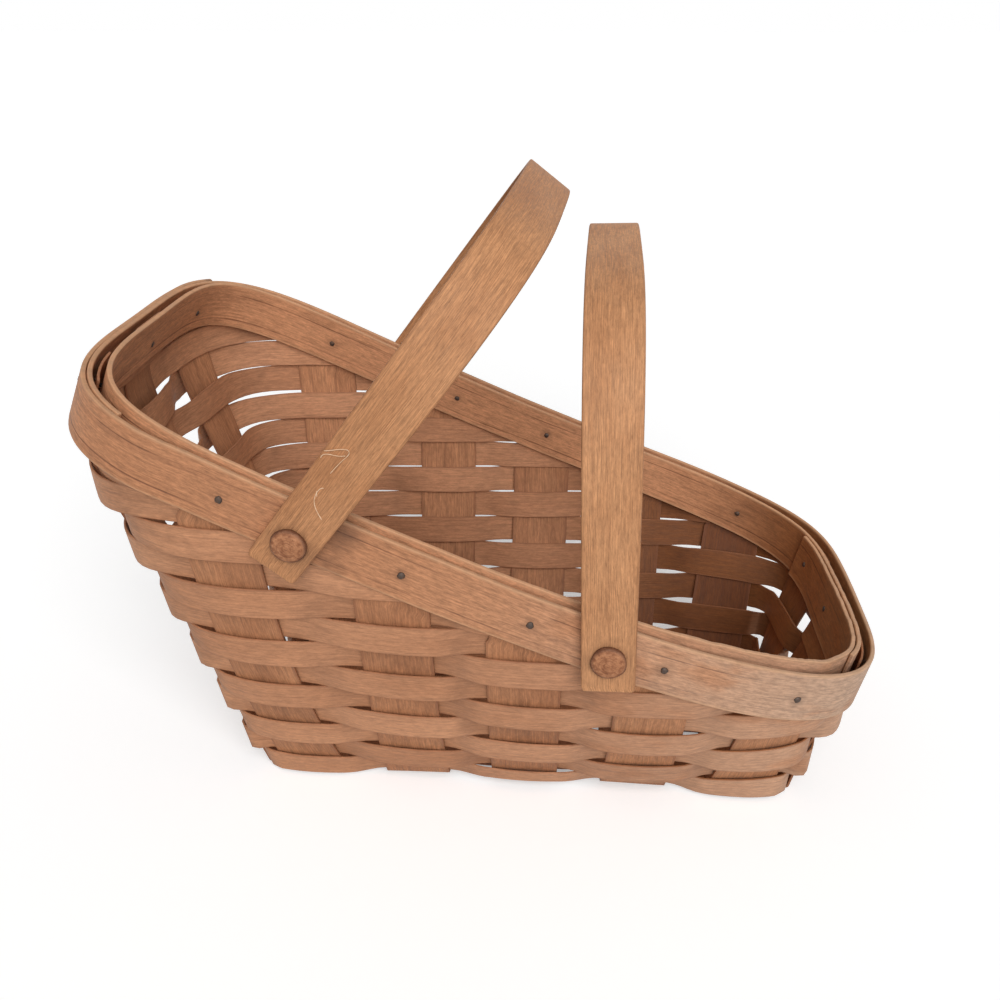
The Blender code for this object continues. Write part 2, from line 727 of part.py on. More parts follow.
nail_rods = []
for stake_end in range(STAKE_END_COUNT):
    place, outward, outer, inner = nail_axis(stake_end)
    profile = [(0, outer + NAIL_HEAD_HEIGHT), (NAIL_HEAD_RADIUS, outer + NAIL_HEAD_HEIGHT / 2),
               (NAIL_HEAD_RADIUS, outer), (NAIL_RADIUS, outer), (NAIL_RADIUS, -inner),
               (NAIL_CLINCH_RADIUS, -inner), (0, -inner - NAIL_HEAD_HEIGHT)]
    turn = outward.to_track_quat("Z", "Y").to_matrix().to_4x4()
    turned(f"nail_{stake_end + 1:02d}", profile, NAIL_SIDES, Matrix.Translation(place) @ turn,
           NAIL_COLOUR, 0.5, 0.8)
    nail_rods.append((place, outward, 4 * (BAND_OFFSET + BAND_LAYER_STEP)))

nail_cutter = rod_cutter("nail_holes", nail_rods, NAIL_RADIUS + BORE_GAP, NAIL_SIDES)
for pierced in stakes + [outer_band, inner_band]:
    cut(pierced, nail_cutter)


# Handles: bent loops that swing on pegs through the rim bands

HANDLE_ARC_STEPS = 28
PEG_SIDES = 12
LONG_SIDE_SHARE = 0.9
STAKE_AT_LOW_PEGS = 3


def handle_points():
    """The loop in its own upright plane, with the pivot axis through the origin."""
    half_span = HANDLE_INNER_FACE + HANDLE_THICKNESS / 2
    angles = np.linspace(0, math.pi, HANDLE_ARC_STEPS + 1)
    y, z = superellipse(angles, half_span, HANDLE_HEIGHT, HANDLE_SQUARENESS)
    y = np.concatenate([[half_span], y, [-half_span]])
    z = np.concatenate([[-HANDLE_STUB], z, [-HANDLE_STUB]])
    rise = np.clip(z / HANDLE_HEIGHT, 0, 1)
    half_width = HANDLE_WIDTH / 2 * (1 + (HANDLE_TOP_WIDTH_SHARE - 1) * rise)
    near = np.stack([-half_width, y, z], axis=-1)
    far = np.stack([half_width, y, z], axis=-1)
    return np.stack([near, far], axis=1)


def axis_matrix(pivot, turn, tilt):
    """The frame of a hinge, whose Y axis runs through the pegs from front to back."""
    turned_frame = Matrix.Rotation(tilt, 4, "X") @ Matrix.Rotation(turn, 4, "Z")
    return Matrix.Translation((pivot[0], 0, pivot[1])) @ turned_frame


def handle(name, hinge, lean):
    part = ribbon(name, handle_points(), HANDLE_THICKNESS, HANDLE_COLOUR)
    part.matrix_world = hinge @ Matrix.Rotation(lean, 4, "Y")
    return part


def wall_crossing(hinge, side):
    """How far along a hinge from its middle it passes through the wall, at one side."""
    distances = side * np.linspace(RIM_WIDTH / 4, RIM_WIDTH, LOOP_SAMPLES)
    along = np.array([hinge @ Vector((0, distance, 0)) for distance in distances])
    places = np.linspace(0, 1, LOOP_SAMPLES)[:-1]
    places = places[(RIM_LOOP.point(places)[1] * side > 0) & (np.abs(rim_share(places)) < LONG_SIDE_SHARE)]
    wall = surface_point(places, hinge.translation.z)
    order = np.argsort(wall[:, 0])
    wall_y = np.interp(along[:, 0], wall[order, 0], wall[order, 1])
    return abs(float(distances[np.argmin(np.abs(wall_y - along[:, 1]))]))


def peg(name, hinge, side):
    """A turned peg with a domed head outside the handle; side is -1 at the front and 1 at the back."""
    foot = wall_crossing(hinge, side) - BAND_OFFSET - BAND_THICKNESS / 2 - PEG_INNER_END
    seat = HANDLE_OUTER_FACE + LAYER_GAP
    profile = [(0, seat + PEG_HEAD_HEIGHT)]
    for step in (0.4, 0.75):
        profile.append((PEG_HEAD_RADIUS * step,
                        seat + PEG_HEAD_RIM + (PEG_HEAD_HEIGHT - PEG_HEAD_RIM) * math.sqrt(1 - step ** 2)))
    profile += [(PEG_HEAD_RADIUS, seat + PEG_HEAD_RIM), (PEG_HEAD_RADIUS, seat), (PEG_RADIUS, seat),
                (PEG_RADIUS, foot + PEG_END_CHAMFER), (PEG_RADIUS - PEG_END_CHAMFER, foot), (0, foot)]
    outward = Vector((0, side, 0)).to_track_quat("Z", "Y").to_matrix().to_4x4()
    return turned(name, profile, PEG_SIDES, hinge @ outward, PEG_COLOUR, 0.5)


HINGES = (("high", HIGH_PIVOT, HIGH_HANDLE_LEAN, HIGH_AXIS_TURN, HIGH_AXIS_TILT),
          ("low", LOW_PIVOT, LOW_HANDLE_LEAN, LOW_AXIS_TURN, LOW_AXIS_TILT))

peg_rods = []
for end, pivot, lean, turn, tilt in HINGES:
    hinge = axis_matrix(pivot, turn, tilt)
    loop = handle(f"{end}_end_handle", hinge, lean)
    peg(f"{end}_end_peg_front", hinge, -1)
    peg(f"{end}_end_peg_back", hinge, 1)
    rod = (hinge.translation, hinge.to_3x3() @ Vector((0, 1, 0)), 3 * HANDLE_OUTER_FACE)
    cut(loop, rod_cutter(f"{end}_end_handle_bores", [rod], PEG_RADIUS + BORE_GAP, PEG_SIDES))
    peg_rods.append(rod)

peg_cutter = rod_cutter("band_bores", peg_rods, PEG_RADIUS + BORE_GAP, PEG_SIDES)
for pierced in (outer_band, inner_band, stakes[STAKE_AT_LOW_PEGS]):
    cut(pierced, peg_cutter)
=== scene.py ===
# %% [markdown]
# # A gathering basket with a slanting rim
#
# The imported CAD model gives every strip, hoop, nail, peg and handle its place, as thin faceted
# solids. This lesson dresses each of them: it weaves the same strips again with smooth bends and
# soft edges, and gives every one its own grain, stains and wear. First the imported model is
# loaded. The dressed basket has to stay within it.

# %% Load the imported basket
import json
import math

import bmesh
import bpy
import numpy as np
from mathutils import Matrix, Vector


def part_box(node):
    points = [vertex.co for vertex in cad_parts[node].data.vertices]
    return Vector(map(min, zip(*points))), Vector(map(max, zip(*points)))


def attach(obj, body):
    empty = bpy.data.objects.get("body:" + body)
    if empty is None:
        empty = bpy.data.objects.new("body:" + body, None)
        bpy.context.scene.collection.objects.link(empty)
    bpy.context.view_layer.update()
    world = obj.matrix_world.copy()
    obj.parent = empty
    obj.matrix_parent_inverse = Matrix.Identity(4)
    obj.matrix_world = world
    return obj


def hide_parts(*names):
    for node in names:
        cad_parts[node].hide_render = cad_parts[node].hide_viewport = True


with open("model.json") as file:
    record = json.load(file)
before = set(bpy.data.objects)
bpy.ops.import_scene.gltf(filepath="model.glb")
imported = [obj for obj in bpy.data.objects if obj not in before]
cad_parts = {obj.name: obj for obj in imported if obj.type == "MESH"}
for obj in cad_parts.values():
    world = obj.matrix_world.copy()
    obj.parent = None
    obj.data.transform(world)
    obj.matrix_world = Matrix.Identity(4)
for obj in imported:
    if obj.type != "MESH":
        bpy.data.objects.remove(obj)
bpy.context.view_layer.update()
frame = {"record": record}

# %% [markdown]
# ## The camera
#
# The photograph was taken from above the front, a little to the right of the basket's middle.
# The camera's place and turn were found from the rim, the base corners and the handles, so the
# model falls on the same pixels. A lens as wide as its sensor gives the photograph's perspective.

# %% Place the camera
CAMERA_PLACE, CAMERA_LENS, CAMERA_NEAR = (0.03848, -0.49512, 0.39776), 36, 0.01
CAMERA_PITCH, CAMERA_YAW, CAMERA_ROLL = (math.radians(angle) for angle in (26.906, -4.403, -0.095))


def in_scene(name, data):
    """A new object with this data, linked into the scene."""
    made = bpy.data.objects.new(name, data)
    bpy.context.scene.collection.objects.link(made)
    return made


def aimed(direction, axis):
    """The turn that brings an object's own axis onto a direction."""
    return Vector(direction).to_track_quat(axis, "Y").to_matrix().to_4x4()


camera = in_scene("camera", bpy.data.cameras.new("camera"))
camera.data.lens, camera.data.sensor_width, camera.data.clip_start = CAMERA_LENS, CAMERA_LENS, CAMERA_NEAR
level = math.cos(CAMERA_PITCH)
ahead = (math.sin(CAMERA_YAW) * level, math.cos(CAMERA_YAW) * level, -math.sin(CAMERA_PITCH))
camera.matrix_world = (Matrix.Translation(CAMERA_PLACE) @ aimed(ahead, "-Z")
                       @ Matrix.Rotation(CAMERA_ROLL, 4, "Z"))
bpy.context.scene.camera = camera
bpy.context.scene.view_settings.view_transform = "Standard"
print("camera looks along", [round(value, 3) for value in ahead])

# %% [markdown]
# ## The wall that everything follows
#
# Every strip lies on one curved wall, so the wall comes first. A place on it is given by u, which
# runs once round the basket from the middle of the low end by way of the back, and by its
# height. The base is a rectangle, the rim a soft rectangle that climbs towards the high end, and
# the wall bellies out between them. The sizes are those of the CAD model.

# %% Sizes of the base, the rim and the strips
BASE_LENGTH, BASE_WIDTH, BASE_CORNER_RADIUS = 0.294, 0.1228, 0.0045
BASE_FORWARD, BASE_ARCH, BASE_FLAT_LENGTH = 0.0187, 0.0048, 0.045
RIM_BACKWARD, RIM_LOW_REACH, RIM_HIGH_REACH = 0.0657, 0.2626, 0.1172
RIM_WIDTH, RIM_SQUARENESS = 0.2201, 4.3
RIM_WIDEST_HEIGHT, RIM_SLOPE, RIM_LOW_LIFT, RIM_HIGH_LIFT = 0.1940, 0.45, 0.0193, 0.0009
SIDE_BELLY_SHARE, HIGH_END_BELLY_SHARE, LOW_END_BELLY_SHARE = 0.636, -0.149, -0.45
HIGH_END_SHOULDER_SHARE, SHOULDER_POWER, END_POWER = 2.3, 6, 4
BAND_WIDTH, BAND_THICKNESS = 0.0277, 0.0024
HIGH_END_BAND_TILT, LOW_END_BAND_TILT = math.radians(24.0), math.radians(12.0)

STAKE_THICKNESS, CROSS_STAKE_WIDTH, LONG_STAKE_WIDTH = 0.0013, 0.036, 0.032
CROSS_STAKE_COUNT, CROSS_STAKE_PITCH = 5, 0.060
CROSS_STAKE_RIM_SHARES = (0.194, 0.400, 0.552, 0.715, 0.884)
LONG_STAKE_COUNT, LONG_STAKE_PITCH = 3, 0.041
HIGH_END_STAKE_RIM_SHARE, LOW_END_STAKE_RIM_SHARE = 0.57, 0.455
STAKE_ENDS = 2 * (CROSS_STAKE_COUNT + LONG_STAKE_COUNT)
RIM_LENGTH = RIM_LOW_REACH + RIM_HIGH_REACH
print("stake ends round the wall:", STAKE_ENDS)

# %% Outlines of the base and the rim
LOOP_SAMPLES, CORNER_SAMPLES = 2881, 9


def superellipse(angle, half_length, half_width, squareness):
    """Points of a soft rectangle, whose corners are tighter the higher its squareness is."""
    cosine, sine = np.cos(angle), np.sin(angle)
    power = 2 / squareness
    return (half_length * np.sign(cosine) * np.abs(cosine) ** power,
            half_width * np.sign(sine) * np.abs(sine) ** power)


def base_outline():
    inner_length, inner_width = BASE_LENGTH / 2 - BASE_CORNER_RADIUS, BASE_WIDTH / 2 - BASE_CORNER_RADIUS
    x, y = [BASE_LENGTH / 2], [0.0]
    for quarter, (side_x, side_y) in enumerate(((1, 1), (-1, 1), (-1, -1), (1, -1))):
        angles = math.pi / 2 * (quarter + np.linspace(0, 1, CORNER_SAMPLES))
        x += list(side_x * inner_length + BASE_CORNER_RADIUS * np.cos(angles))
        y += list(side_y * inner_width + BASE_CORNER_RADIUS * np.sin(angles))
    return np.array(x + [BASE_LENGTH / 2]), np.array(y + [0.0])


def rim_outline():
    x, y = superellipse(np.linspace(0, 2 * math.pi, LOOP_SAMPLES), 1, RIM_WIDTH / 2, RIM_SQUARENESS)
    return x * np.where(x < 0, RIM_HIGH_REACH, RIM_LOW_REACH), y


print("rim samples:", len(rim_outline()[0]), "base samples:", len(base_outline()[0]))

# %% [markdown]
# Both outlines are measured by stakes: u goes up by a sixteenth from one stake end to the next, on
# the base and on the rim alike. That way one u is a whole line up the wall, which fans out at the
# corners as the real stakes do.

# %% Measure an outline from stake to stake
def lengths_along(x, y):
    """The length of a line of points up to each of them."""
    return np.concatenate([[0], np.cumsum(np.hypot(np.diff(x), np.diff(y)))])


class Loop:
    def __init__(self, outline, side_places, low_place, high_place):
        x, y = self.x, self.y = outline
        self.lengths = lengths_along(x, y)
        whole = self.lengths[-1]
        back = [self.length_at(place, x, y > 0) for place in reversed(side_places)]
        high = [self.length_at(place, y, x < x.min() / 2) for place in (high_place, 0.0, -high_place)]
        front = [self.length_at(place, x, y < 0) for place in side_places]
        low = self.length_at(low_place, y, (x > x.max() / 2) & (self.lengths < whole / 2))
        self.stakes = np.array([0, low, *back, *high, *front, whole - low, whole])

    def length_at(self, value, values, part):
        """How far round the outline a value of x or y is found, on one part of it."""
        order = np.argsort(values[part])
        return np.interp(value, values[part][order], self.lengths[part][order])

    def point(self, u):
        length = np.interp(np.mod(u, 1.0), np.linspace(0, 1, STAKE_ENDS + 1), self.stakes)
        return np.interp(length, self.lengths, self.x), np.interp(length, self.lengths, self.y)


def cross_stake_x(index):
    return BASE_FORWARD + (index - (CROSS_STAKE_COUNT - 1) / 2) * CROSS_STAKE_PITCH


def long_stake_y(index):
    return (index - (LONG_STAKE_COUNT - 1) / 2) * LONG_STAKE_PITCH


base_loop = Loop(base_outline(), [cross_stake_x(index) - BASE_FORWARD for index in range(CROSS_STAKE_COUNT)],
                 LONG_STAKE_PITCH, LONG_STAKE_PITCH)
rim_loop = Loop(rim_outline(), [share * RIM_LENGTH - RIM_HIGH_REACH for share in CROSS_STAKE_RIM_SHARES],
                LOW_END_STAKE_RIM_SHARE * RIM_WIDTH / 2, HIGH_END_STAKE_RIM_SHARE * RIM_WIDTH / 2)
print("rim length in mm:", round(rim_loop.lengths[-1] * 1000))

# %% The wall between the base and the rim
ALONG_STEP, UP_STEP = 2e-4, 5e-4


def rim_share(u):
    """How far along the rim u is: -1 at the high end, 0 where it is widest, 1 at the low end."""
    x = rim_loop.point(u)[0]
    return x / np.where(x < 0, RIM_HIGH_REACH, RIM_LOW_REACH)


def rim_height(u):
    share = rim_share(u)
    lift = np.where(share < 0, RIM_HIGH_LIFT, RIM_LOW_LIFT)
    return RIM_WIDEST_HEIGHT - RIM_SLOPE * rim_loop.point(u)[0] + lift * share ** 2


def rim_point(u):
    x, y = rim_loop.point(u)
    return x - RIM_BACKWARD, y, rim_height(u)


def band_foot_point(u):
    x, y, z = rim_point(u)
    tilt = np.interp(rim_share(u), (-1, 1), (HIGH_END_BAND_TILT, LOW_END_BAND_TILT))
    return x - BAND_WIDTH * np.sin(tilt), y, z - BAND_WIDTH * np.cos(tilt)


def band_foot(u):
    return band_foot_point(u)[2]


def base_arch(x):
    """How far the base is arched off the floor."""
    half_span = BASE_LENGTH / 2 - BASE_FLAT_LENGTH
    return BASE_ARCH * np.clip(1 - ((x - BASE_FORWARD) / half_span) ** 2, 0, None)


def surface_point(u, z):
    """A point at height z on the wall's middle surface, which is straight upwards in the bands."""
    u, z = np.broadcast_arrays(np.asarray(u, float), np.asarray(z, float))
    (base_x, base_y), (foot_x, foot_y, foot_z) = base_loop.point(u), band_foot_point(u)
    (rim_x, rim_y, rim_z), share = rim_point(u), rim_share(u)
    end_belly = np.where(share < 0, HIGH_END_BELLY_SHARE, LOW_END_BELLY_SHARE)
    belly = SIDE_BELLY_SHARE + (end_belly - SIDE_BELLY_SHARE) * share ** END_POWER
    shoulder = np.where(share < 0, HIGH_END_SHOULDER_SHARE, 0) * share ** END_POWER
    rise = np.minimum(z / foot_z, 1)
    reach = rise + (belly * rise + shoulder * rise ** SHOULDER_POWER) * (1 - rise)
    past_foot = np.clip((z - foot_z) / (rim_z - foot_z), 0, None)
    x = base_x + BASE_FORWARD + (foot_x - base_x - BASE_FORWARD) * reach + (rim_x - foot_x) * past_foot
    y = base_y + (foot_y - base_y) * reach + (rim_y - foot_y) * past_foot
    return np.stack([x, y, z], axis=-1)


def along_at(u, z):
    """The step along the wall from just before u to just after it."""
    return surface_point(u + ALONG_STEP, z) - surface_point(u - ALONG_STEP, z)


def outward_at(u, z):
    """The direction straight out of the wall."""
    up = surface_point(u, z + UP_STEP) - surface_point(u, z - UP_STEP)
    outward = np.cross(along_at(u, z), up)
    return outward / np.linalg.norm(outward, axis=-1, keepdims=True)


def level_outward_at(u, z):
    return outward_at(u, z) * [1, 1, 0]


def wall_point(u, z, offset=0.0):
    """A point at height z that stands off the wall's middle surface, outwards when positive."""
    outward = level_outward_at(u, z)
    level_share = np.sum(outward ** 2, axis=-1, keepdims=True)
    return surface_point(u, z) + outward / level_share * np.asarray(offset, float)[..., None]


def beside(u, z, distance):
    """The place at this distance along the wall from u, at height z."""
    return u + distance * 2 * ALONG_STEP / np.linalg.norm(along_at(u, z), axis=-1)


print("middle of the high end's rim:", surface_point(0.5, rim_height(0.5)).round(4))

# %% [markdown]
# ## One strip of wood
#
# Stakes, weavers, hoops and handles are all flat strips that were bent while wet. Each starts as
# a bmesh grid whose vertices are set on the strip's path. Its UV map counts metres along and
# across the strip, so that the grain runs with the bend, and each strip starts ten metres after
# the one before, so that no two have the same grain. Solidify gives the thickness and Bevel takes
# the sharpness off the sawn edges. Two vertex values go with it: how near an edge the wood is,
# and how much dirt and painted shade it holds.

# %% Make a strip from stations along it and places across it
METRES_APART, SHARP_ANGLE = 10.0, math.radians(50)

bodies = frame["record"]["behaviour"]["bodies"]
body_of_node = {node: body for body, nodes in bodies.items() for node in nodes}
finished = []


def coat(piece, material):
    piece.data.materials.clear()
    piece.data.materials.append(material)


def keep(piece, node, material):
    """Give a finished piece its material, and let it stand for a CAD node."""
    coat(piece, material)
    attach(piece, body_of_node[node])
    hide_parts(node)
    finished.append(piece)


def new_piece(name, work):
    mesh = bpy.data.meshes.new(name)
    work.to_mesh(mesh)
    work.free()
    return in_scene(name, mesh)


def mesh_of(drawn):
    """A plain mesh of what an object looks like once its modifiers or its bevel are worked out."""
    return bpy.data.meshes.new_from_object(drawn.evaluated_get(bpy.context.evaluated_depsgraph_get()))


def strip(name, points, thickness, edge, marks):
    """A bent strip of wood through points[station, place], with its stains and painted shade given in the
    same order.
    """
    stations, places = points.shape[:2]
    steps = np.linalg.norm(np.diff(points.mean(axis=1), axis=0), axis=-1)
    along = np.concatenate([[0], np.cumsum(steps)]) + METRES_APART * (len(finished) + 1)
    width = np.linalg.norm(np.diff(points, axis=1), axis=-1).sum(axis=1)
    work = bmesh.new()
    uv = work.loops.layers.uv.new("strip")
    across, dirt_and_shade = work.verts.layers.float.new("across"), work.verts.layers.float.new("dirt_and_shade")
    bmesh.ops.create_grid(work, x_segments=stations - 1, y_segments=places - 1, size=1)
    for vertex in work.verts:
        station = round((vertex.co.x + 1) / 2 * (stations - 1))
        place = round((vertex.co.y + 1) / 2 * (places - 1))
        vertex[across] = 2 * place / (places - 1) - 1
        vertex[dirt_and_shade] = marks[station, place]
        for loop in vertex.link_loops:
            loop[uv].uv = (along[station], width[station] * place / (places - 1))
        vertex.co = points[station, place]
    for face in work.faces:
        face.smooth = True
    piece = new_piece(name, work)
    solid = piece.modifiers.new("thickness", "SOLIDIFY")
    solid.thickness, solid.offset, solid.use_even_offset = thickness, 0, True
    soft = piece.modifiers.new("soft_edge", "BEVEL")
    soft.width, soft.segments, soft.limit_method, soft.angle_limit = edge, 2, "ANGLE", SHARP_ANGLE
    soft.harden_normals = True
    return piece


def swaying(place, swings, rng):
    """A slow sway along a strip, from -1 to 1, of waves that swing so many times in one round."""
    return sum(np.sin(2 * math.pi * (place * count + rng.random())) for count in swings) / len(swings)


# %% [markdown]
# ## Grain
#
# Aged splint shows fine fibres along its whole length, a few darker growth lines that wander
# slowly across it, short open pores, and the patches and the soft mottle that come with age. One
# node group makes a mask for each from the strip's own UV map, so the stakes, the weavers, the
# hoops and the handles can each mix them with their own strengths.

# %% Helpers for groups and materials
def feed(tree, node, values):
    """Link or set a node's inputs, {name or number: socket or value}. A colour has three numbers."""
    for key, value in values.items():
        socket = node.inputs[key]
        if isinstance(value, bpy.types.NodeSocket):
            tree.links.new(value, socket)
        else:
            socket.default_value = (*value, 1) if socket.type == "RGBA" else value


def node_group(name, inputs, outputs):
    """An empty shader group with sockets {name: default}, where three numbers are a colour."""
    group = bpy.data.node_groups.new(name, "ShaderNodeTree")
    for in_out, sockets in (("INPUT", inputs), ("OUTPUT", outputs)):
        for socket_name, default in sockets.items():
            kind = "Color" if isinstance(default, tuple) else "Float"
            socket = group.interface.new_socket(socket_name, in_out=in_out, socket_type="NodeSocket" + kind)
            socket.default_value = (*default, 1) if kind == "Color" else default
    return group, group.nodes.new("NodeGroupInput").outputs, group.nodes.new("NodeGroupOutput")


def use_group(tree, group, values):
    node = tree.nodes.new("ShaderNodeGroup")
    node.node_tree = group
    feed(tree, node, values)
    return node.outputs


def new_material(name):
    material = bpy.data.materials.new(name)
    material.use_nodes = True
    return material, material.node_tree, material.node_tree.nodes["Principled BSDF"]


# %% Helpers for numbers, directions and colours
def maths(tree, operation, *values, clamp=False):
    node = tree.nodes.new("ShaderNodeMath")
    node.operation, node.use_clamp = operation, clamp
    feed(tree, node, dict(enumerate(values)))
    return node.outputs[0]


def times(tree, first, second):
    return maths(tree, "MULTIPLY", first, second)


def vector_maths(tree, operation, *values):
    node = tree.nodes.new("ShaderNodeVectorMath")
    node.operation = operation
    feed(tree, node, dict(enumerate(values)))
    return node.outputs


def ramp_between(tree, value, low, high, to_low=0.0, to_high=1.0):
    """The value brought from between low and high to a smooth 0 to 1, or to other ends."""
    node = tree.nodes.new("ShaderNodeMapRange")
    node.interpolation_type = "SMOOTHSTEP"
    feed(tree, node, dict(enumerate((value, low, high, to_low, to_high))))
    return node.outputs[0]


def mixed(tree, share, first, second, kind="MIX"):
    node = tree.nodes.new("ShaderNodeMix")
    node.data_type, node.blend_type, node.clamp_factor = "RGBA", kind, True
    feed(tree, node, {0: share, 6: first, 7: second})
    return node.outputs[2]


# %% Helpers for noise, for what a strip carries and for relief
def noise(tree, vector, detail=2.0, roughness=0.5):
    node = tree.nodes.new("ShaderNodeTexNoise")
    feed(tree, node, {"Vector": vector, "Scale": 1.0, "Detail": detail, "Roughness": roughness})
    return node.outputs["Fac"]


def strip_noise(tree, u, v, shift, along, across, detail=2.0, roughness=0.5):
    """Noise in a strip's own coordinates, which repeats so many times to the metre each way."""
    node = tree.nodes.new("ShaderNodeCombineXYZ")
    feed(tree, node, {0: times(tree, u, along), 1: times(tree, v, across), 2: shift})
    return noise(tree, node.outputs[0], detail, roughness)


def place_noise(tree, often, detail=2.0, roughness=0.5):
    """Noise in a piece's own space, which repeats so many times to the metre."""
    node = tree.nodes.new("ShaderNodeMapping")
    place = tree.nodes.new("ShaderNodeTexCoord").outputs["Object"]
    feed(tree, node, {"Vector": place, "Scale": (often, often, often)})
    return noise(tree, node.outputs[0], detail, roughness)


def parts_of(tree, vector):
    node = tree.nodes.new("ShaderNodeSeparateXYZ")
    tree.links.new(vector, node.inputs[0])
    return tuple(node.outputs)


def uv_of(tree, name):
    node = tree.nodes.new("ShaderNodeUVMap")
    node.uv_map = name
    return parts_of(tree, node.outputs[0])[:2]


def vertex_value(tree, name):
    node = tree.nodes.new("ShaderNodeAttribute")
    node.attribute_name = name
    return node.outputs["Fac"]


def bumps(tree, height, strength, distance):
    node = tree.nodes.new("ShaderNodeBump")
    feed(tree, node, {"Height": height, "Strength": strength, "Distance": distance})
    return node.outputs["Normal"]


# %% The grain group
# Each noise has its repeats to the metre along and across a strip, its detail and its roughness.
WANDER, PORES, PATCHES = (7.0, 40.0, 2.0, 0.5), (260.0, 3400.0, 1.0, 0.5), (16.0, 38.0, 3.0, 0.6)
TONE, MOTTLE = (5.0, 14.0, 2.0, 0.5), (190.0, 620.0, 5.0, 0.75)
LINES_ALONG, LINES_KIND, FIBRES_ALONG, FIBRES_KIND = 7.0, (3.0, 0.6), 60.0, (4.0, 0.65)
WANDER_WIDTH, SHIFT_SPAN = 0.006, 37.0
TONE_SPAN, LINES_SPAN, PORES_SPAN, PATCHES_SPAN = (0.3, 0.7), (0.52, 0.74), (0.60, 0.72), (0.42, 0.72)

grain, taken, given = node_group(
    "splint_grain", {"Lines per metre": 220.0, "Fibres per metre": 1500.0},
    dict.fromkeys(("Tone", "Lines", "Pores", "Fibre", "Strip", "Patches", "Wander", "Mottle"), 0.0))
u_along, v_across = uv_of(grain, "strip")
own = grain.nodes.new("ShaderNodeTexWhiteNoise")
own.noise_dimensions = "1D"
feed(grain, own, {"W": maths(grain, "FLOOR", maths(grain, "DIVIDE", u_along, METRES_APART))})
shift = times(grain, own.outputs["Value"], SHIFT_SPAN)
wander = strip_noise(grain, u_along, v_across, shift, *WANDER)
bent_v = maths(grain, "ADD", v_across, times(grain, wander, WANDER_WIDTH))
lines = strip_noise(grain, u_along, bent_v, shift, LINES_ALONG, taken["Lines per metre"], *LINES_KIND)
fibre = strip_noise(grain, u_along, bent_v, shift, FIBRES_ALONG, taken["Fibres per metre"], *FIBRES_KIND)
feed(grain, given, {
    "Tone": ramp_between(grain, strip_noise(grain, u_along, v_across, shift, *TONE), *TONE_SPAN),
    "Lines": ramp_between(grain, lines, *LINES_SPAN),
    "Pores": ramp_between(grain, strip_noise(grain, u_along, bent_v, shift, *PORES), *PORES_SPAN),
    "Patches": ramp_between(grain, strip_noise(grain, u_along, v_across, shift, *PATCHES), *PATCHES_SPAN),
    "Mottle": strip_noise(grain, u_along, bent_v, shift, *MOTTLE),
    "Fibre": fibre, "Strip": own.outputs["Value"], "Wander": wander})
print("grain group nodes:", len(grain.nodes))

# %% [markdown]
# ## Dirt and painted shade
#
# The wood was never varnished, so it takes up dirt in faint blotches and round the nails and pegs.
# Painted shade darkens the weavers where they cross the stakes, and the edges of the splints and
# handles, while the hoops' edges get a painted highlight. A second group lays all that over any
# colour. It reads the two vertex values that every strip carries.

# %% The dirt and painted shade group
EDGE_START, LEAST_BREAKUP = 0.86, 0.55

dirt_and_shade_group, taken, given = node_group(
    "dirt_and_painted_shade",
    {"Colour": (0.5, 0.3, 0.2), "Grime and shade colour": (0.06, 0.03, 0.02), "Edge colour": (0.3, 0.15, 0.08),
     "Edge strength": 0.4, "Breakup": 0.5},
    {"Colour": (1, 1, 1), "Grime and shade": 0.0})
from_middle = maths(dirt_and_shade_group, "ABSOLUTE", vertex_value(dirt_and_shade_group, "across"))
# Painted edge colour: painted shade along the edges of the splints and handles, and a painted highlight along
# the hoops' edges, whose edge colour is paler.
edge_mask = times(dirt_and_shade_group, ramp_between(dirt_and_shade_group, from_middle, EDGE_START, 1.0), taken["Edge strength"])
# The vertex value holds stains and blotches, and painted shade and shadows as well.
dirt_and_shade_mask = maths(dirt_and_shade_group, "MULTIPLY", vertex_value(dirt_and_shade_group, "dirt_and_shade"),
                  maths(dirt_and_shade_group, "ADD", taken["Breakup"], LEAST_BREAKUP), clamp=True)
edged = mixed(dirt_and_shade_group, edge_mask, taken["Colour"], taken["Edge colour"])
dirtied_and_shaded = mixed(dirt_and_shade_group, dirt_and_shade_mask, edged, taken["Grime and shade colour"])
feed(dirt_and_shade_group, given, {"Colour": dirtied_and_shaded, "Grime and shade": dirt_and_shade_mask})
print("handling group nodes:", len(dirt_and_shade_group.nodes))

# %% [markdown]
# ## Brown stain and painted shade inside the low end
#
# The inside of the low end is much browner than the rest: partly a brown stain in the wood and
# partly painted shade, for the narrow end that the light hardly reaches. This group makes a brown
# to multiply any wood by. It grows towards the low end, is deepest on the back wall, where it is
# mostly painted shade, and is only on wood that faces the middle of the basket, so the outside
# stays pale.

# %% The brown stain and painted shade inside
# The brown is partly a stain in the wood and partly painted shade; the back wall's deeper brown is mostly
# painted shade.
BASKET_MIDDLE, STAIN_AND_SHADE_REACH, STAIN_AND_SHADE_FACING = (0.035, 0.0, 0.15), 0.11, (0.05, 0.45)
END_STAIN_AND_SHADE, BACK_STAIN_AND_SHADE = (0.68, 0.50, 0.29), (0.32, 0.225, 0.125)

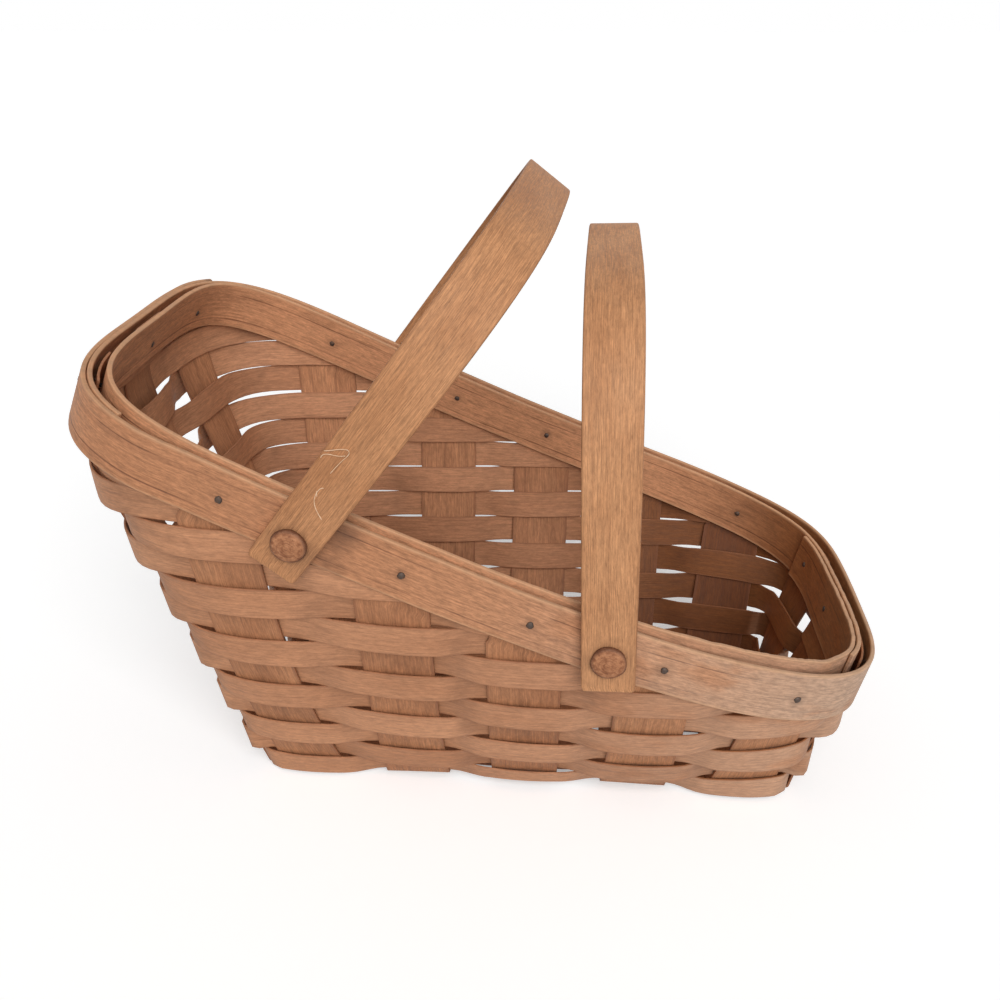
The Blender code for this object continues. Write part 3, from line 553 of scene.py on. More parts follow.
inside, taken, given = node_group("brown_stain_and_painted_shade", {"Start": 0.0}, {"Colour": (1, 1, 1)})
place = inside.nodes.new("ShaderNodeTexCoord").outputs["Object"]
facing = inside.nodes.new("ShaderNodeNewGeometry").outputs["Normal"]
to_middle = vector_maths(inside, "SUBTRACT", BASKET_MIDDLE, place)[0]
unit = vector_maths(inside, "NORMALIZE", to_middle)[0]
inwards = vector_maths(inside, "DOT_PRODUCT", unit, facing)["Value"]
mask = times(inside, ramp_between(inside, inwards, *STAIN_AND_SHADE_FACING),
             ramp_between(inside, parts_of(inside, place)[0], taken["Start"],
                          maths(inside, "ADD", taken["Start"], STAIN_AND_SHADE_REACH)))
on_back = maths(inside, "MULTIPLY", parts_of(inside, facing)[1], -1.0, clamp=True)
# Painted shade: the back wall takes the deeper brown.
stain_and_shade_brown = mixed(inside, on_back, END_STAIN_AND_SHADE, BACK_STAIN_AND_SHADE)
feed(inside, given, {"Colour": mixed(inside, mask, (1, 1, 1), stain_and_shade_brown)})
print("brown inside group nodes:", len(inside.nodes))

# %% [markdown]
# ## The woods
#
# The weavers and stakes are the same reddish splint, and the stakes are coloured a little darker
# as painted shade, because they lie deeper. The hoops are paler and drier with open grain, the
# inner one the lighter of the two, and the handles are a golden, harder wood with long straight
# lines. Each finish mixes two close colours by tone, darkens them along the lines and in the
# pores, and lets the fibres make the surface rough.

# %% Build one wood finish
WOOD_SHINE, PATCH_STRENGTH, TEXTURE_SPAN = 0.3, 0.6, (0.28, 0.72)
CREASE_SWERVE, CREASE_CORE, CREASE_PATCHES = 0.42, 0.2, (0.0, 0.5, 0.35, 0.9)
WORN_PATCHES, WOOD_ROUGHNESS = (0.9, 0.2, 0.35, 1.0), (0.2, 0.8, 0.52, 0.74)
LINE_DEPTH, PORE_DEPTH, WOOD_BUMP = 0.4, 0.5, (0.25, 0.0006)


def wood(name, pale, deep, line_colour, lines, fibres, line_strength, contrast, mottled, pore_strength=0.25,
         strip_spread=0.35, edge_strength=0.4, edge_colour=None, weathered=None, crease_shade_lines=(), stain_and_shade_from=None):
    """A bare wood. contrast and mottled: how dark and how light its fibres and its mottle make it."""
    material, tree, shader = new_material(name)
    made = use_group(tree, grain, {"Lines per metre": lines, "Fibres per metre": fibres})
    tone = maths(tree, "ADD", times(tree, made["Tone"], 1 - strip_spread),
                 times(tree, made["Strip"], strip_spread), clamp=True)
    colour = mixed(tree, tone, pale, deep)
    for mask, strength, over in (("Patches", PATCH_STRENGTH, deep), ("Lines", line_strength, line_colour),
                                 ("Pores", pore_strength, line_colour)):
        colour = mixed(tree, times(tree, made[mask], strength), colour, over)
    # Painted shade: dark lines along the hoops' creases, which the mesh doesn't have.
    for where, thickness in crease_shade_lines:
        swerve = maths(tree, "ADD", vertex_value(tree, "across"), times(tree, made["Wander"], CREASE_SWERVE))
        away = maths(tree, "ABSOLUTE", maths(tree, "SUBTRACT", swerve, where + CREASE_SWERVE / 2))
        crease_shade = times(tree, ramp_between(tree, away, thickness, thickness * CREASE_CORE),
                       ramp_between(tree, made["Patches"], *CREASE_PATCHES))
        colour = mixed(tree, crease_shade, colour, line_colour)
    if weathered:
        worn = times(tree, vertex_value(tree, "weather"), ramp_between(tree, made["Patches"], *WORN_PATCHES))
        colour = mixed(tree, worn, colour, weathered)
    for mask, ends in (("Fibre", contrast), ("Mottle", mottled)):
        colour = mixed(tree, 1.0, colour, ramp_between(tree, made[mask], *TEXTURE_SPAN, *ends), "MULTIPLY")
    # Multiply by the brown stain and painted shade inside the low end.
    if stain_and_shade_from is not None:
        stain_and_shade_brown = use_group(tree, inside, {"Start": stain_and_shade_from})["Colour"]
        colour = mixed(tree, 1.0, colour, stain_and_shade_brown, "MULTIPLY")
    with_dirt_and_shade = use_group(tree, dirt_and_shade_group, {"Edge strength": edge_strength, "Breakup": made["Patches"],
                                           "Edge colour": edge_colour or line_colour, "Colour": colour})
    relief = maths(tree, "SUBTRACT", made["Fibre"], times(tree, made["Lines"], LINE_DEPTH))
    relief = maths(tree, "SUBTRACT", relief, times(tree, made["Pores"], PORE_DEPTH))
    feed(tree, shader, {"Base Color": with_dirt_and_shade["Colour"], "Specular IOR Level": WOOD_SHINE,
                        "Roughness": ramp_between(tree, made["Fibre"], *WOOD_ROUGHNESS),
                        "Normal": bumps(tree, relief, *WOOD_BUMP)})
    return material


# %% Mix the five woods
AGED_GREY = (0.52, 0.345, 0.240)
# On the hoops the edge colour is paler than the wood, a painted highlight along their edges, and the crease
# lines are painted shade.
HOOP_WEAR_AND_PAINTED_LIGHT = {"pore_strength": 0.40, "weathered": AGED_GREY, "crease_shade_lines": ((-0.62, 0.045), (0.55, 0.035)),
             "edge_strength": 0.5, "edge_colour": (0.62, 0.36, 0.20)}

# The stakes' colours are a little darker than the weavers': painted shade for lying deeper.
stake_wood = wood("stake_splint", (0.56, 0.262, 0.128), (0.39, 0.162, 0.074), (0.20, 0.075, 0.038),
                  260, 1700, 0.30, (0.76, 1.20), (0.80, 1.17), stain_and_shade_from=0.0)
weaver_wood = wood("weaver_splint", (0.62, 0.306, 0.164), (0.44, 0.198, 0.098), (0.27, 0.112, 0.056),
                   200, 1500, 0.22, (0.82, 1.15), (0.82, 1.15), strip_spread=0.42, weathered=AGED_GREY,
                   stain_and_shade_from=0.0)
hoop_wood = wood("rim_hoop", (0.57, 0.270, 0.136), (0.41, 0.178, 0.084), (0.19, 0.075, 0.038),
                 150, 1500, 0.38, (0.82, 1.16), (0.74, 1.22), stain_and_shade_from=0.08, **HOOP_WEAR_AND_PAINTED_LIGHT)
inner_hoop_wood = wood("inner_rim_hoop", (0.70, 0.345, 0.180), (0.52, 0.236, 0.115), (0.21, 0.085, 0.043),
                       150, 1500, 0.36, (0.82, 1.16), (0.76, 1.20), stain_and_shade_from=0.09, **HOOP_WEAR_AND_PAINTED_LIGHT)
handle_wood = wood("handle_bentwood", (0.61, 0.305, 0.145), (0.39, 0.166, 0.068), (0.25, 0.100, 0.042),
                   420, 2300, 0.28, (0.68, 1.23), (0.82, 1.15), pore_strength=0.50, strip_spread=0.6,
                   edge_strength=0.25)
print("materials:", [material.name for material in bpy.data.materials])

# %% [markdown]
# ## Stakes
#
# Five wide stakes cross the base and three run along it. They are interlaced, so each goes over one
# and under the next, and their ends turn up into the walls and end between the two hoops. The real
# ones are flat stock, creased round the edge of the base. The path of each is worked out in three
# runs, down a wall, across the base and up the other wall, joined by soft bends.

# %% The path of a stake
STAKE_PLACES, WALL_STEPS, BEND_STEPS, BASE_STEPS = 7, 44, 8, 90
STAKE_TOP_DROP, LAYER_MARGIN, LOWER_BEND, UPPER_BEND, LAYER_GAP = 0.003, 0.0005, 0.0016, 0.0029, 0.0003
LOWER_LAYER = STAKE_THICKNESS / 2
UPPER_LAYER = LOWER_LAYER + STAKE_THICKNESS + LAYER_GAP
SHARES_IN_BANDS = (0.35, 0.7, 1.0)


def eased(place, knots, values):
    """Values at knots joined by smooth steps, flat at each knot."""
    knots, values = np.asarray(knots, float), np.asarray(values, float)
    index = np.clip(np.searchsorted(knots, place) - 1, 0, len(knots) - 2)
    t = np.clip((place - knots[index]) / (knots[index + 1] - knots[index]), 0, 1)
    return values[index] + (values[index + 1] - values[index]) * t * t * (3 - 2 * t)


def stake_wall(u, distances, feet):
    """Stations up the wall at u, from a stake's foot to its top between the hoops."""
    at_band = beside(u, band_foot(u), distances)
    band_feet, tops = band_foot(at_band), rim_height(at_band) - STAKE_TOP_DROP
    heights = [feet + (band_feet - feet) * share for share in np.linspace(0, 1, WALL_STEPS)]
    heights += [band_feet + (tops - band_feet) * share for share in SHARES_IN_BANDS]
    return [wall_point(beside(u, height, distances), height) for height in heights]


def stake_path(base_run, ends, width, bend):
    """Down one wall, across the base and up the other wall."""
    halves = []
    for (stake_end, direction), base_end in zip(ends, (base_run[0], base_run[-1])):
        u, feet = stake_end / STAKE_ENDS, base_end[:, 2]
        distances = direction * np.linspace(-width / 2, width / 2, STAKE_PLACES)
        wall = stake_wall(u, distances, feet + bend)
        corner = wall_point(beside(u, feet, distances), feet)
        turn = [(1 - t) ** 2 * base_end + 2 * t * (1 - t) * corner + t ** 2 * wall[0]
                for t in np.arange(1, BEND_STEPS) / BEND_STEPS]
        halves.append(turn + wall)
    return np.array(halves[0][::-1] + base_run + halves[1])


def base_heights(centres, reach, edge, middle, upper):
    """Knots of a stake's height through the base, where it changes from one layer to the other."""
    knots, heights = [middle - edge], [UPPER_LAYER if upper else LOWER_LAYER]
    for centre in centres:
        knots += [centre - reach, centre + reach]
        heights += 2 * [UPPER_LAYER if upper else LOWER_LAYER]
        upper = not upper
    return knots + [middle + edge], heights + heights[-1:]


print("stations in a stake:", 2 * (WALL_STEPS + len(SHARES_IN_BANDS) + BEND_STEPS - 1) + BASE_STEPS)

# %% Lay the stakes
STAKE_EDGE, STAKE_DIRT, STAKE_BLOTCHES = 0.0003, 0.10, 0.12


def stake_dirt(stations, rng):
    """Faint blotches along a stake."""
    place = np.linspace(0, 1, stations)
    blotches = sum(np.sin(place * rng.uniform(20, 60) + rng.uniform(0, 6)) for _ in range(3)) / 3
    return np.repeat(np.clip(STAKE_DIRT + STAKE_BLOTCHES * blotches, 0, 1)[:, None], STAKE_PLACES, axis=1)


def lay_stake(node, upper, half_length, middle, steps, crossed, crossed_width, station, ends, width):
    """Lay a stake over the crossed ones. station(at) gives its x and y at this place along the base."""
    bend = UPPER_BEND if upper else LOWER_BEND
    edge = half_length - bend
    knots, heights = base_heights(crossed, crossed_width / 2 + LAYER_MARGIN, edge, middle, upper)
    run = []
    for at in middle + np.linspace(-edge, edge, steps):
        x, y = station(at)
        run.append(np.stack([x, y, eased(at, knots, heights) + base_arch(x)], axis=-1))
    points = stake_path(run, ends, width, bend)
    keep(strip(f"{node}_splint", points, STAKE_THICKNESS, STAKE_EDGE, stake_dirt(len(points), rng)),
         node, stake_wood)


rng = np.random.default_rng(11)
widthways = np.linspace(-1, 1, STAKE_PLACES)
cross_places = [cross_stake_x(index) for index in range(CROSS_STAKE_COUNT)]
long_places = [long_stake_y(index) for index in range(LONG_STAKE_COUNT)]
for index, middle_x in enumerate(cross_places):
    x = widthways * CROSS_STAKE_WIDTH / 2 + middle_x
    ends = ((STAKE_ENDS * 3 // 4 + index - CROSS_STAKE_COUNT // 2, 1),
            (STAKE_ENDS // 4 - index + CROSS_STAKE_COUNT // 2, -1))
    lay_stake(f"cross_stake_{index + 1}", index % 2 == 0, BASE_WIDTH / 2, 0.0, BASE_STEPS, long_places,
              LONG_STAKE_WIDTH, lambda at: (x, np.full_like(x, at)), ends, CROSS_STAKE_WIDTH)
for index, middle_y in enumerate(long_places):
    y = -widthways * LONG_STAKE_WIDTH / 2 + middle_y
    ends = ((STAKE_ENDS // 2 - index + LONG_STAKE_COUNT // 2, 1),
            ((index - LONG_STAKE_COUNT // 2) % STAKE_ENDS, -1))
    lay_stake(f"long_stake_{index + 1}", index % 2 == 1, BASE_LENGTH / 2, BASE_FORWARD, 2 * BASE_STEPS,
              cross_places, CROSS_STAKE_WIDTH, lambda at: (np.full_like(y, at), y), ends, LONG_STAKE_WIDTH)
print("stakes laid:", len(finished))

# %% [markdown]
# ## Weavers
#
# Fourteen narrow weavers go round the wall, outside one stake and inside the next, and each row is
# one stake out of step with the row below. A weaver keeps its full offset while it passes a stake
# and swings over in the gap to the next. It stands more upright than the wall it goes round, which
# gives the stepped outline at the two ends and leaves the slots of light at the back.

# %% Sizes of the weave
ROW_COUNT, WEAVER_WIDTH, WEAVER_THICKNESS = 14, 0.0163, 0.0011
ROW_START, ROW_PITCH, ROW_GAP = 0.0024, 0.0164, 0.0005
LOOSE_ROW, LOOSE_ROW_LIFT, LOOSE_ROW_PLACE = 10, 0.002, 6.7
WEAVER_BULGE, SIDE_UPRIGHT_SHARE, END_UPRIGHT_SHARE, UPRIGHT_POWER = 0.0010, 0.2, 1.0, 6
CLEAR_OF_BANDS_SHARE, ROW_TUCK, SHORTEST_ROW_END, SEAM_GAP = 0.5, 0.008, 0.003, 0.001
EDGE_MARGIN, WEAVER_GAP, BAND_GAP = 0.0008, 0.0004, 0.0006
WEAVER_OFFSET = STAKE_THICKNESS / 2 + WEAVER_GAP + WEAVER_THICKNESS / 2
SIDE_SPREAD, FRONT_SPREAD, END_SPREAD, SPREAD_POWER = 0.0009, 0.0007, 0.0027, 3
# The crossing and behind-stake values are painted shade: where a weaver swings past a stake's edge, and more
# faintly where it lies behind a stake.
WEAVER_SWAY, WEAVER_SWINGS, CROSSING_SHADE, BEHIND_STAKE_SHADE = 0.00022, (3, 5, 8), 0.20, 0.10
STEPS_PER_STAKE, WEAVER_PLACES, SPAN_SAMPLES = 16, 5, 1441
print("a row stands off the wall by, in mm:", round(WEAVER_OFFSET * 1000, 2))


# %% Where each row goes
def uprightness(u):
    return SIDE_UPRIGHT_SHARE + (END_UPRIGHT_SHARE - SIDE_UPRIGHT_SHARE) * rim_share(u) ** UPRIGHT_POWER


def lean_between(u, low, high):
    """How far out the wall leans from one height to another, or nothing where it leans back in."""
    step = surface_point(u, high) - surface_point(u, low)
    return np.maximum(np.sum(step * level_outward_at(u, (low + high) / 2), axis=-1), 0.0)


def row_foot(row, u):
    away = u * STAKE_ENDS - LOOSE_ROW_PLACE
    return ROW_START + row * ROW_PITCH + LOOSE_ROW_LIFT * np.exp(-away ** 2) * (row >= LOOSE_ROW)


def row_edges(row, u):
    """The heights of a row's two edges, cut off where the row is tucked behind the hoops."""
    foot = row_foot(row, u)
    lean = np.arccos(np.linalg.norm(outward_at(u, foot + WEAVER_WIDTH / 2)[..., :2], axis=-1))
    rise = WEAVER_WIDTH * np.cos(np.arctan((1 - uprightness(u)) * np.tan(lean)))
    head = foot + np.minimum(rise, ROW_PITCH - ROW_GAP)
    if row == 0:
        foot = foot + base_arch(surface_point(u, 0.0)[..., 0])
    return foot, np.minimum(head, band_foot(u) + ROW_TUCK)


def row_span(row):
    """Where a row starts and ends: behind a front stake, or where the hoops take its last width."""
    places = np.linspace(0, 1, SPAN_SAMPLES)
    foot, head = row_edges(row, places)
    shown = places[head - foot > SHORTEST_ROW_END]
    if len(shown) < len(places):
        return shown[0], shown[-1]
    seam = (STAKE_ENDS * 3 // 4 - 1 + row % 2) / STAKE_ENDS
    half_gap = beside(seam, row_foot(row, seam), SEAM_GAP / 2) - seam
    return seam + half_gap, seam + 1 - half_gap


print("the highest row's span:", row_span(ROW_COUNT - 1))


# %% The path of a weaver
def stake_width(stake_end):
    from_end_middle = min(stake_end % (STAKE_ENDS // 2), -stake_end % (STAKE_ENDS // 2))
    return LONG_STAKE_WIDTH if from_end_middle <= LONG_STAKE_COUNT // 2 else CROSS_STAKE_WIDTH


def weave(row, u):
    """The side of the wall that a row is on, from -1 inside to 1 outside, and its bulge over a stake."""
    knots, sides, bulge = [], [], np.zeros_like(u)
    for stake_end in range(-1, 2 * STAKE_ENDS + 1):
        centre, side = stake_end / STAKE_ENDS, 1 if (stake_end + row) % 2 == 0 else -1
        half = beside(centre, row_foot(row, centre % 1.0) + WEAVER_WIDTH / 2,
                      stake_width(stake_end) / 2 + EDGE_MARGIN) - centre
        knots += [centre - half, centre + half]
        sides += [side, side]
        bulge = np.maximum(bulge, 1 - ((u - centre) / half) ** 2)
    return eased(u, knots, sides), bulge


def spread_row(points, u, row, side, free_share):
    """Widen a row where it passes a stake: downwards outside the stake, upwards inside it."""
    upwards = points[:, -1] - points[:, 0]
    upwards = upwards / np.linalg.norm(upwards, axis=-1, keepdims=True)
    side_spread = SIDE_SPREAD + FRONT_SPREAD * np.clip(-np.sin(2 * math.pi * u), 0, 1)
    spread = side_spread + (END_SPREAD - side_spread) * rim_share(u) ** UPRIGHT_POWER
    downward = spread * ((1 + side) / 2) ** SPREAD_POWER * (row > 0)
    upward = spread * ((1 - side) / 2) ** SPREAD_POWER * free_share
    shares = np.linspace(0, 1, WEAVER_PLACES)[None, :, None]
    moved = upward[:, None, None] * shares - downward[:, None, None] * (1 - shares)
    return points + upwards[:, None] * moved


def weaver_path(row, rng):
    start, end = row_span(row)
    u = np.linspace(start, end, round((end - start) * STAKE_ENDS * STEPS_PER_STAKE))
    side, bulge = weave(row, u)
    sway = swaying(u, WEAVER_SWINGS, rng) * WEAVER_SWAY
    foot, head = row_edges(row, np.mod(u, 1.0))
    band = band_foot(u)
    free_share = np.clip((band - head) / WEAVER_WIDTH, 0, 1)
    clear_share = np.clip((band - head) / WEAVER_WIDTH - CLEAR_OF_BANDS_SHARE, 0, 1)
    across = []
    for share in np.linspace(0, 1, WEAVER_PLACES):
        height = foot + (head - foot) * share
        out = (1 + side) / 2 * lean_between(u, np.minimum(height, band), np.minimum(head, band))
        into = (1 - side) / 2 * lean_between(u, foot, height) * clear_share
        offset = side * (WEAVER_OFFSET + WEAVER_BULGE * bulge * free_share) + uprightness(u) * (out - into)
        across.append(wall_point(u, height + sway * (row > 0) * free_share, offset))
    points = spread_row(np.stack(across, axis=1), u, row, side, free_share)
    # Painted shade where the weaver swings past a stake's edge and where it lies behind a stake.
    dirt_and_shade = CROSSING_SHADE * (1 - np.abs(side)) + BEHIND_STAKE_SHADE * np.clip(-side, 0, 1) * (1 - bulge)
    return points, np.repeat(dirt_and_shade[:, None], WEAVER_PLACES, axis=1), u


# %% Weave the rows
WEATHERED_PLACE, WEATHERED_REACH, WEATHER_STEP = 1.3, 1.9, 4
WEAVER_EDGE, WEAVER_WEATHER = 0.00028, 0.5


def low_front(u):
    """1 at the front corner of the low end and 0 away from it."""
    from_end = np.mod(u + 0.5, 1.0) - 0.5
    return np.exp(-((from_end + WEATHERED_PLACE / STAKE_ENDS) * STAKE_ENDS / WEATHERED_REACH) ** 2)


def weather(piece, points, amount):
    """Keep how weathered each vertex is, as a vertex value that the wood reads."""
    middles = points.mean(axis=1)[::WEATHER_STEP]
    places = np.array([vertex.co[:] for vertex in piece.data.vertices])
    nearest = np.argmin(((places[:, None] - middles) ** 2).sum(axis=-1), axis=1)
    attribute = piece.data.attributes.new("weather", "FLOAT", "POINT")
    attribute.data.foreach_set("value", amount[::WEATHER_STEP][nearest].astype(np.float32))


rng = np.random.default_rng(5)
for row in range(ROW_COUNT):
    points, dirt_and_shade, u = weaver_path(row, rng)
    piece = strip(f"weaver_row_{row + 1:02d}_splint", points, WEAVER_THICKNESS, WEAVER_EDGE, dirt_and_shade)
    weather(piece, points, WEAVER_WEATHER * low_front(u))
    keep(piece, f"weaver_row_{row + 1:02d}", weaver_wood)
print("weavers woven:", ROW_COUNT, "pieces so far:", len(finished))

# %% [markdown]
# ## Nails, pegs and their places
#
# The hoops come next, but they carry stains round the nails and pegs, so the places of those are
# worked out first. A nail goes in at every stake end, a little below the rim's edge.

# %% Where the nails go
BAND_OFFSET = WEAVER_OFFSET + WEAVER_THICKNESS / 2 + BAND_GAP + BAND_THICKNESS / 2
BAND_LAYER_STEP = BAND_THICKNESS + LAYER_GAP
OUTER_START, OUTER_LAP, INNER_START, INNER_LAP = 9.5, 2.75, 14.6, 2.6
NAIL_DROP = 0.014


def lapped(place, start, lap, direction):
    return (direction * (place - start)) % STAKE_ENDS < lap


def nail_axis(stake_end):
    """A nail's place, its outward direction and how far it reaches outwards and inwards."""
    u = stake_end / STAKE_ENDS
    height = rim_height(u) - NAIL_DROP
    face = BAND_OFFSET + BAND_THICKNESS / 2
    outer = face + BAND_LAYER_STEP * lapped(stake_end, OUTER_START, OUTER_LAP, -1)
    inner = face + BAND_LAYER_STEP * lapped(stake_end, INNER_START, INNER_LAP, 1)
    return Vector(surface_point(u, height)), Vector(outward_at(u, height)), outer, inner


nails = [nail_axis(stake_end) for stake_end in range(STAKE_ENDS)]
nail_places = [np.array(nail[0]) for nail in nails]
print("nails:", len(nails))

# %% Where the handles hang
HANDLE_WIDTH, HANDLE_TOP_WIDTH_SHARE, HANDLE_THICKNESS = 0.025, 1.05, 0.0042
HANDLE_HEIGHT, HANDLE_STUB, HANDLE_SQUARENESS, HANDLE_SIDE_GAP = 0.1605, 0.0175, 3.8, 0.0015
HANDLE_INNER_FACE = RIM_WIDTH / 2 + BAND_OFFSET + BAND_THICKNESS / 2 + HANDLE_SIDE_GAP
HANDLE_OUTER_FACE = HANDLE_INNER_FACE + HANDLE_THICKNESS
PEG_RADIUS, PEG_HEAD_RADIUS, PEG_HEAD_HEIGHT, PEG_HEAD_RIM = 0.0040, 0.0083, 0.0034, 0.0012
PEG_SIDES = {-1: "front", 1: "back"}
HINGES = {"high": {"pivot": (-0.0760, 0, 0.1841), "lean": 37.0, "turned": -3.5, "tilted": 1.2},
          "low": {"pivot": (0.0617, 0, 0.1268), "lean": -1.8, "turned": -1.3, "tilted": 0.0}}


def turned_about(end, angle, axis):
    return Matrix.Rotation(math.radians(HINGES[end][angle]), 4, axis)


def hinge_frame(end):
    """The frame of a hinge, whose Y axis runs through the pegs from front to back."""
    return (Matrix.Translation(HINGES[end]["pivot"]) @ turned_about(end, "tilted", "X")
            @ turned_about(end, "turned", "Z"))


def handle_frame(end):
    """The frame of a handle at rest, leaning on its hinge."""
    return hinge_frame(end) @ turned_about(end, "lean", "Y")


def peg_wall_distance(end, side):
    """How far along a hinge from its middle the peg's inner end is, at the front or the back."""
    low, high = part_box(f"{end}_end_peg_{'front' if side < 0 else 'back'}")
    return min(abs(low.y), abs(high.y))


peg_places = {(end, side): np.array(hinge_frame(end) @ Vector((0, side * RIM_WIDTH / 2, 0)))
              for end in HINGES for side in PEG_SIDES}
print("peg places:", {key: place.round(3).tolist() for key, place in peg_places.items()})

# %% [markdown]
# ## The two rim hoops
#
# An outer and an inner hoop clasp the stake ends. Each is one long strip that goes once round and
# laps over its own start, so it has two layers at one end of the basket: the outer hoop at the high
# end, where its tip stands off a little, and the inner one at the low end. The inner hoop stands a
# few millimetres proud there, and its top edge is rough. The front of the low end is the greyest.

# %% The path of a hoop
BAND_PLACES, HOOP_STEP, LAP_RAMP, LAP_RAMP_END, TIP_RUN = 13, 0.0022, 0.4, 0.08, 0.55
HOOP_SWAY, HOOP_SWINGS, EDGE_ROUGHNESS, ROUGH_FROM = 0.0003, (4, 7, 13), 0.00030, 0.002
TIP_OFFSET, INNER_PROUD = 0.0045, 0.0034


def spots(points, centres, near, far):
    """1 within near of a centre, falling to 0 at far from it."""
    distance = np.min([np.linalg.norm(points - centre, axis=-1) for centre in centres], axis=0)
    return np.clip((far - distance) / (far - near), 0, 1)


def hoop_path(start, lap, direction, side, proud_height, tip, rng):
    """A hoop that starts at a stake place, goes once round and laps over its own start."""
    end = STAKE_ENDS + lap
    steps = np.linspace(0, end, round(rim_loop.lengths[-1] * (end / STAKE_ENDS) / HOOP_STEP))
    u = np.mod((start + direction * steps) / STAKE_ENDS, 1.0)
    layer = eased(steps, [0, STAKE_ENDS - LAP_RAMP, STAKE_ENDS - LAP_RAMP_END, end], [0, 0, 1, 1])
    from_tip = np.clip((steps - (end - TIP_RUN)) / TIP_RUN, 0, 1)
    offset = side * (BAND_OFFSET + layer * BAND_LAYER_STEP + tip * from_tip ** 2)
    sway = HOOP_SWAY * swaying(steps / STAKE_ENDS, HOOP_SWINGS, rng)
    proud = proud_height * low_front(u)
    foot, top = band_foot(u) + sway, rim_height(u) + proud - sway
    across = []
    for share in np.linspace(0, 1, BAND_PLACES):
        ragged = np.convolve(rng.normal(0, EDGE_ROUGHNESS, len(u)), np.ones(3) / 3, "same")
        rough = ragged * (share == 1.0) * np.clip(proud / ROUGH_FROM, 0, 1)
        across.append(wall_point(u, foot + (top - foot) * share + rough, offset))
    return np.stack(across, axis=1), u, from_tip


# %% Bend the hoops
# Stains round the nails and pegs, and a painted shadow of the high end's handle, which falls as a streak of
# spots on the outer hoop beside its front peg.
NAIL_STAIN, PEG_STAIN, HANDLE_SHADOW_REACH = (0.004, 0.0065), (0.006, 0.010), (0.001, 0.0105)
HANDLE_SHADOW_PLACES = ((0.024, -0.005, 0.003), (0.020, -0.005, -0.004), (0.015, -0.005, -0.012))
TIP_STAIN, TIP_STAIN_FROM = 0.9, 0.93


def bend_hoop(node, path, edge, stains_and_shadows, tip_stain, weathered, material):
    """Bend one hoop. Each stain or painted shadow is its strength, the places it is at and its two reaches.
    """
    points, u, from_tip = path
    dirt_and_shade = tip_stain * np.repeat(from_tip[:, None] > TIP_STAIN_FROM, BAND_PLACES, axis=1)
    for strength, places, reach in stains_and_shadows:
        dirt_and_shade = np.maximum(dirt_and_shade, strength * spots(points, places, *reach))
    piece = strip(f"{node}_hoop", points, BAND_THICKNESS, edge, dirt_and_shade)
    weather(piece, points, weathered * low_front(u))
    keep(piece, node, material)
    print(node, "vertices:", len(piece.data.vertices))


rng = np.random.default_rng(23)
# Places of the painted shadow of the handle on the outer hoop.
handle_shadow_places = [peg_places["high", -1] + np.array(place) for place in HANDLE_SHADOW_PLACES]
bend_hoop("outer_rim_band", hoop_path(OUTER_START, OUTER_LAP, -1, 1, 0.0, TIP_OFFSET, rng), 0.0007,
          [(0.45, nail_places, NAIL_STAIN), (0.50, handle_shadow_places, HANDLE_SHADOW_REACH)], TIP_STAIN, 0.9, hoop_wood)
bend_hoop("inner_rim_band", hoop_path(INNER_START, INNER_LAP, 1, -1, INNER_PROUD, 0.0, rng), 0.0006,
          [(0.40, nail_places, NAIL_STAIN), (0.85, list(peg_places.values()), PEG_STAIN)], 0.0, 0.6,
          inner_hoop_wood)

# %% [markdown]
# ## Turned pieces
#
# Nails and pegs are round, so both are spun from a half profile. The nails are dark iron with a
# slightly hammered head. The pegs are end grain: growth rings round the middle, blotches and a
# darker rim where the wood has soaked up dirt, with an outline that isn't quite round.

# %% Iron and peg wood
IRON, RUST, RUST_OFTEN = (0.085, 0.065, 0.055), (0.16, 0.08, 0.045), 900
PEG_PALE, PEG_DEEP, PEG_RING = (0.47, 0.205, 0.095), (0.25, 0.092, 0.040), (0.16, 0.06, 0.03)
PEG_SPECK, PEG_RIM = (0.09, 0.035, 0.02), (0.085, 0.032, 0.018)
RUST_KIND, RUST_SPAN, IRON_SHINE = (4.0, 0.7), (0.45, 0.7), 0.7
IRON_ROUGHNESS, IRON_BUMP = (0.3, 0.7, 0.45, 0.8), (0.5, 0.0002)
BLOTCHES, SPECKS, RING_OFTEN, RING_WANDER = (2.0, 330.0, 330.0, 4.0, 0.6), (5.0, 1500.0, 1500.0), 5200.0, 9.0
RING_SPAN, BLOTCH_SPAN, SPECK_SPAN, RIM_SPAN = (-0.4, 1.0), (0.35, 0.68), (0.6, 0.72), (0.80, 0.99)
RING_STRENGTH, SPECK_STRENGTH, RIM_STRENGTH, SPECK_HEIGHT = 0.12, 0.5, 0.75, 2.0
PEG_ROUGHNESS, PEG_BUMP = (0.3, 0.7, 0.5, 0.72), (0.4, 0.0005)


def iron():
    material, tree, shader = new_material("nail_iron")
    rust = place_noise(tree, RUST_OFTEN, *RUST_KIND)
    feed(tree, shader, {"Metallic": IRON_SHINE, "Roughness": ramp_between(tree, rust, *IRON_ROUGHNESS),
                        "Base Color": mixed(tree, ramp_between(tree, rust, *RUST_SPAN), IRON, RUST),
                        "Normal": bumps(tree, rust, *IRON_BUMP)})
    return material


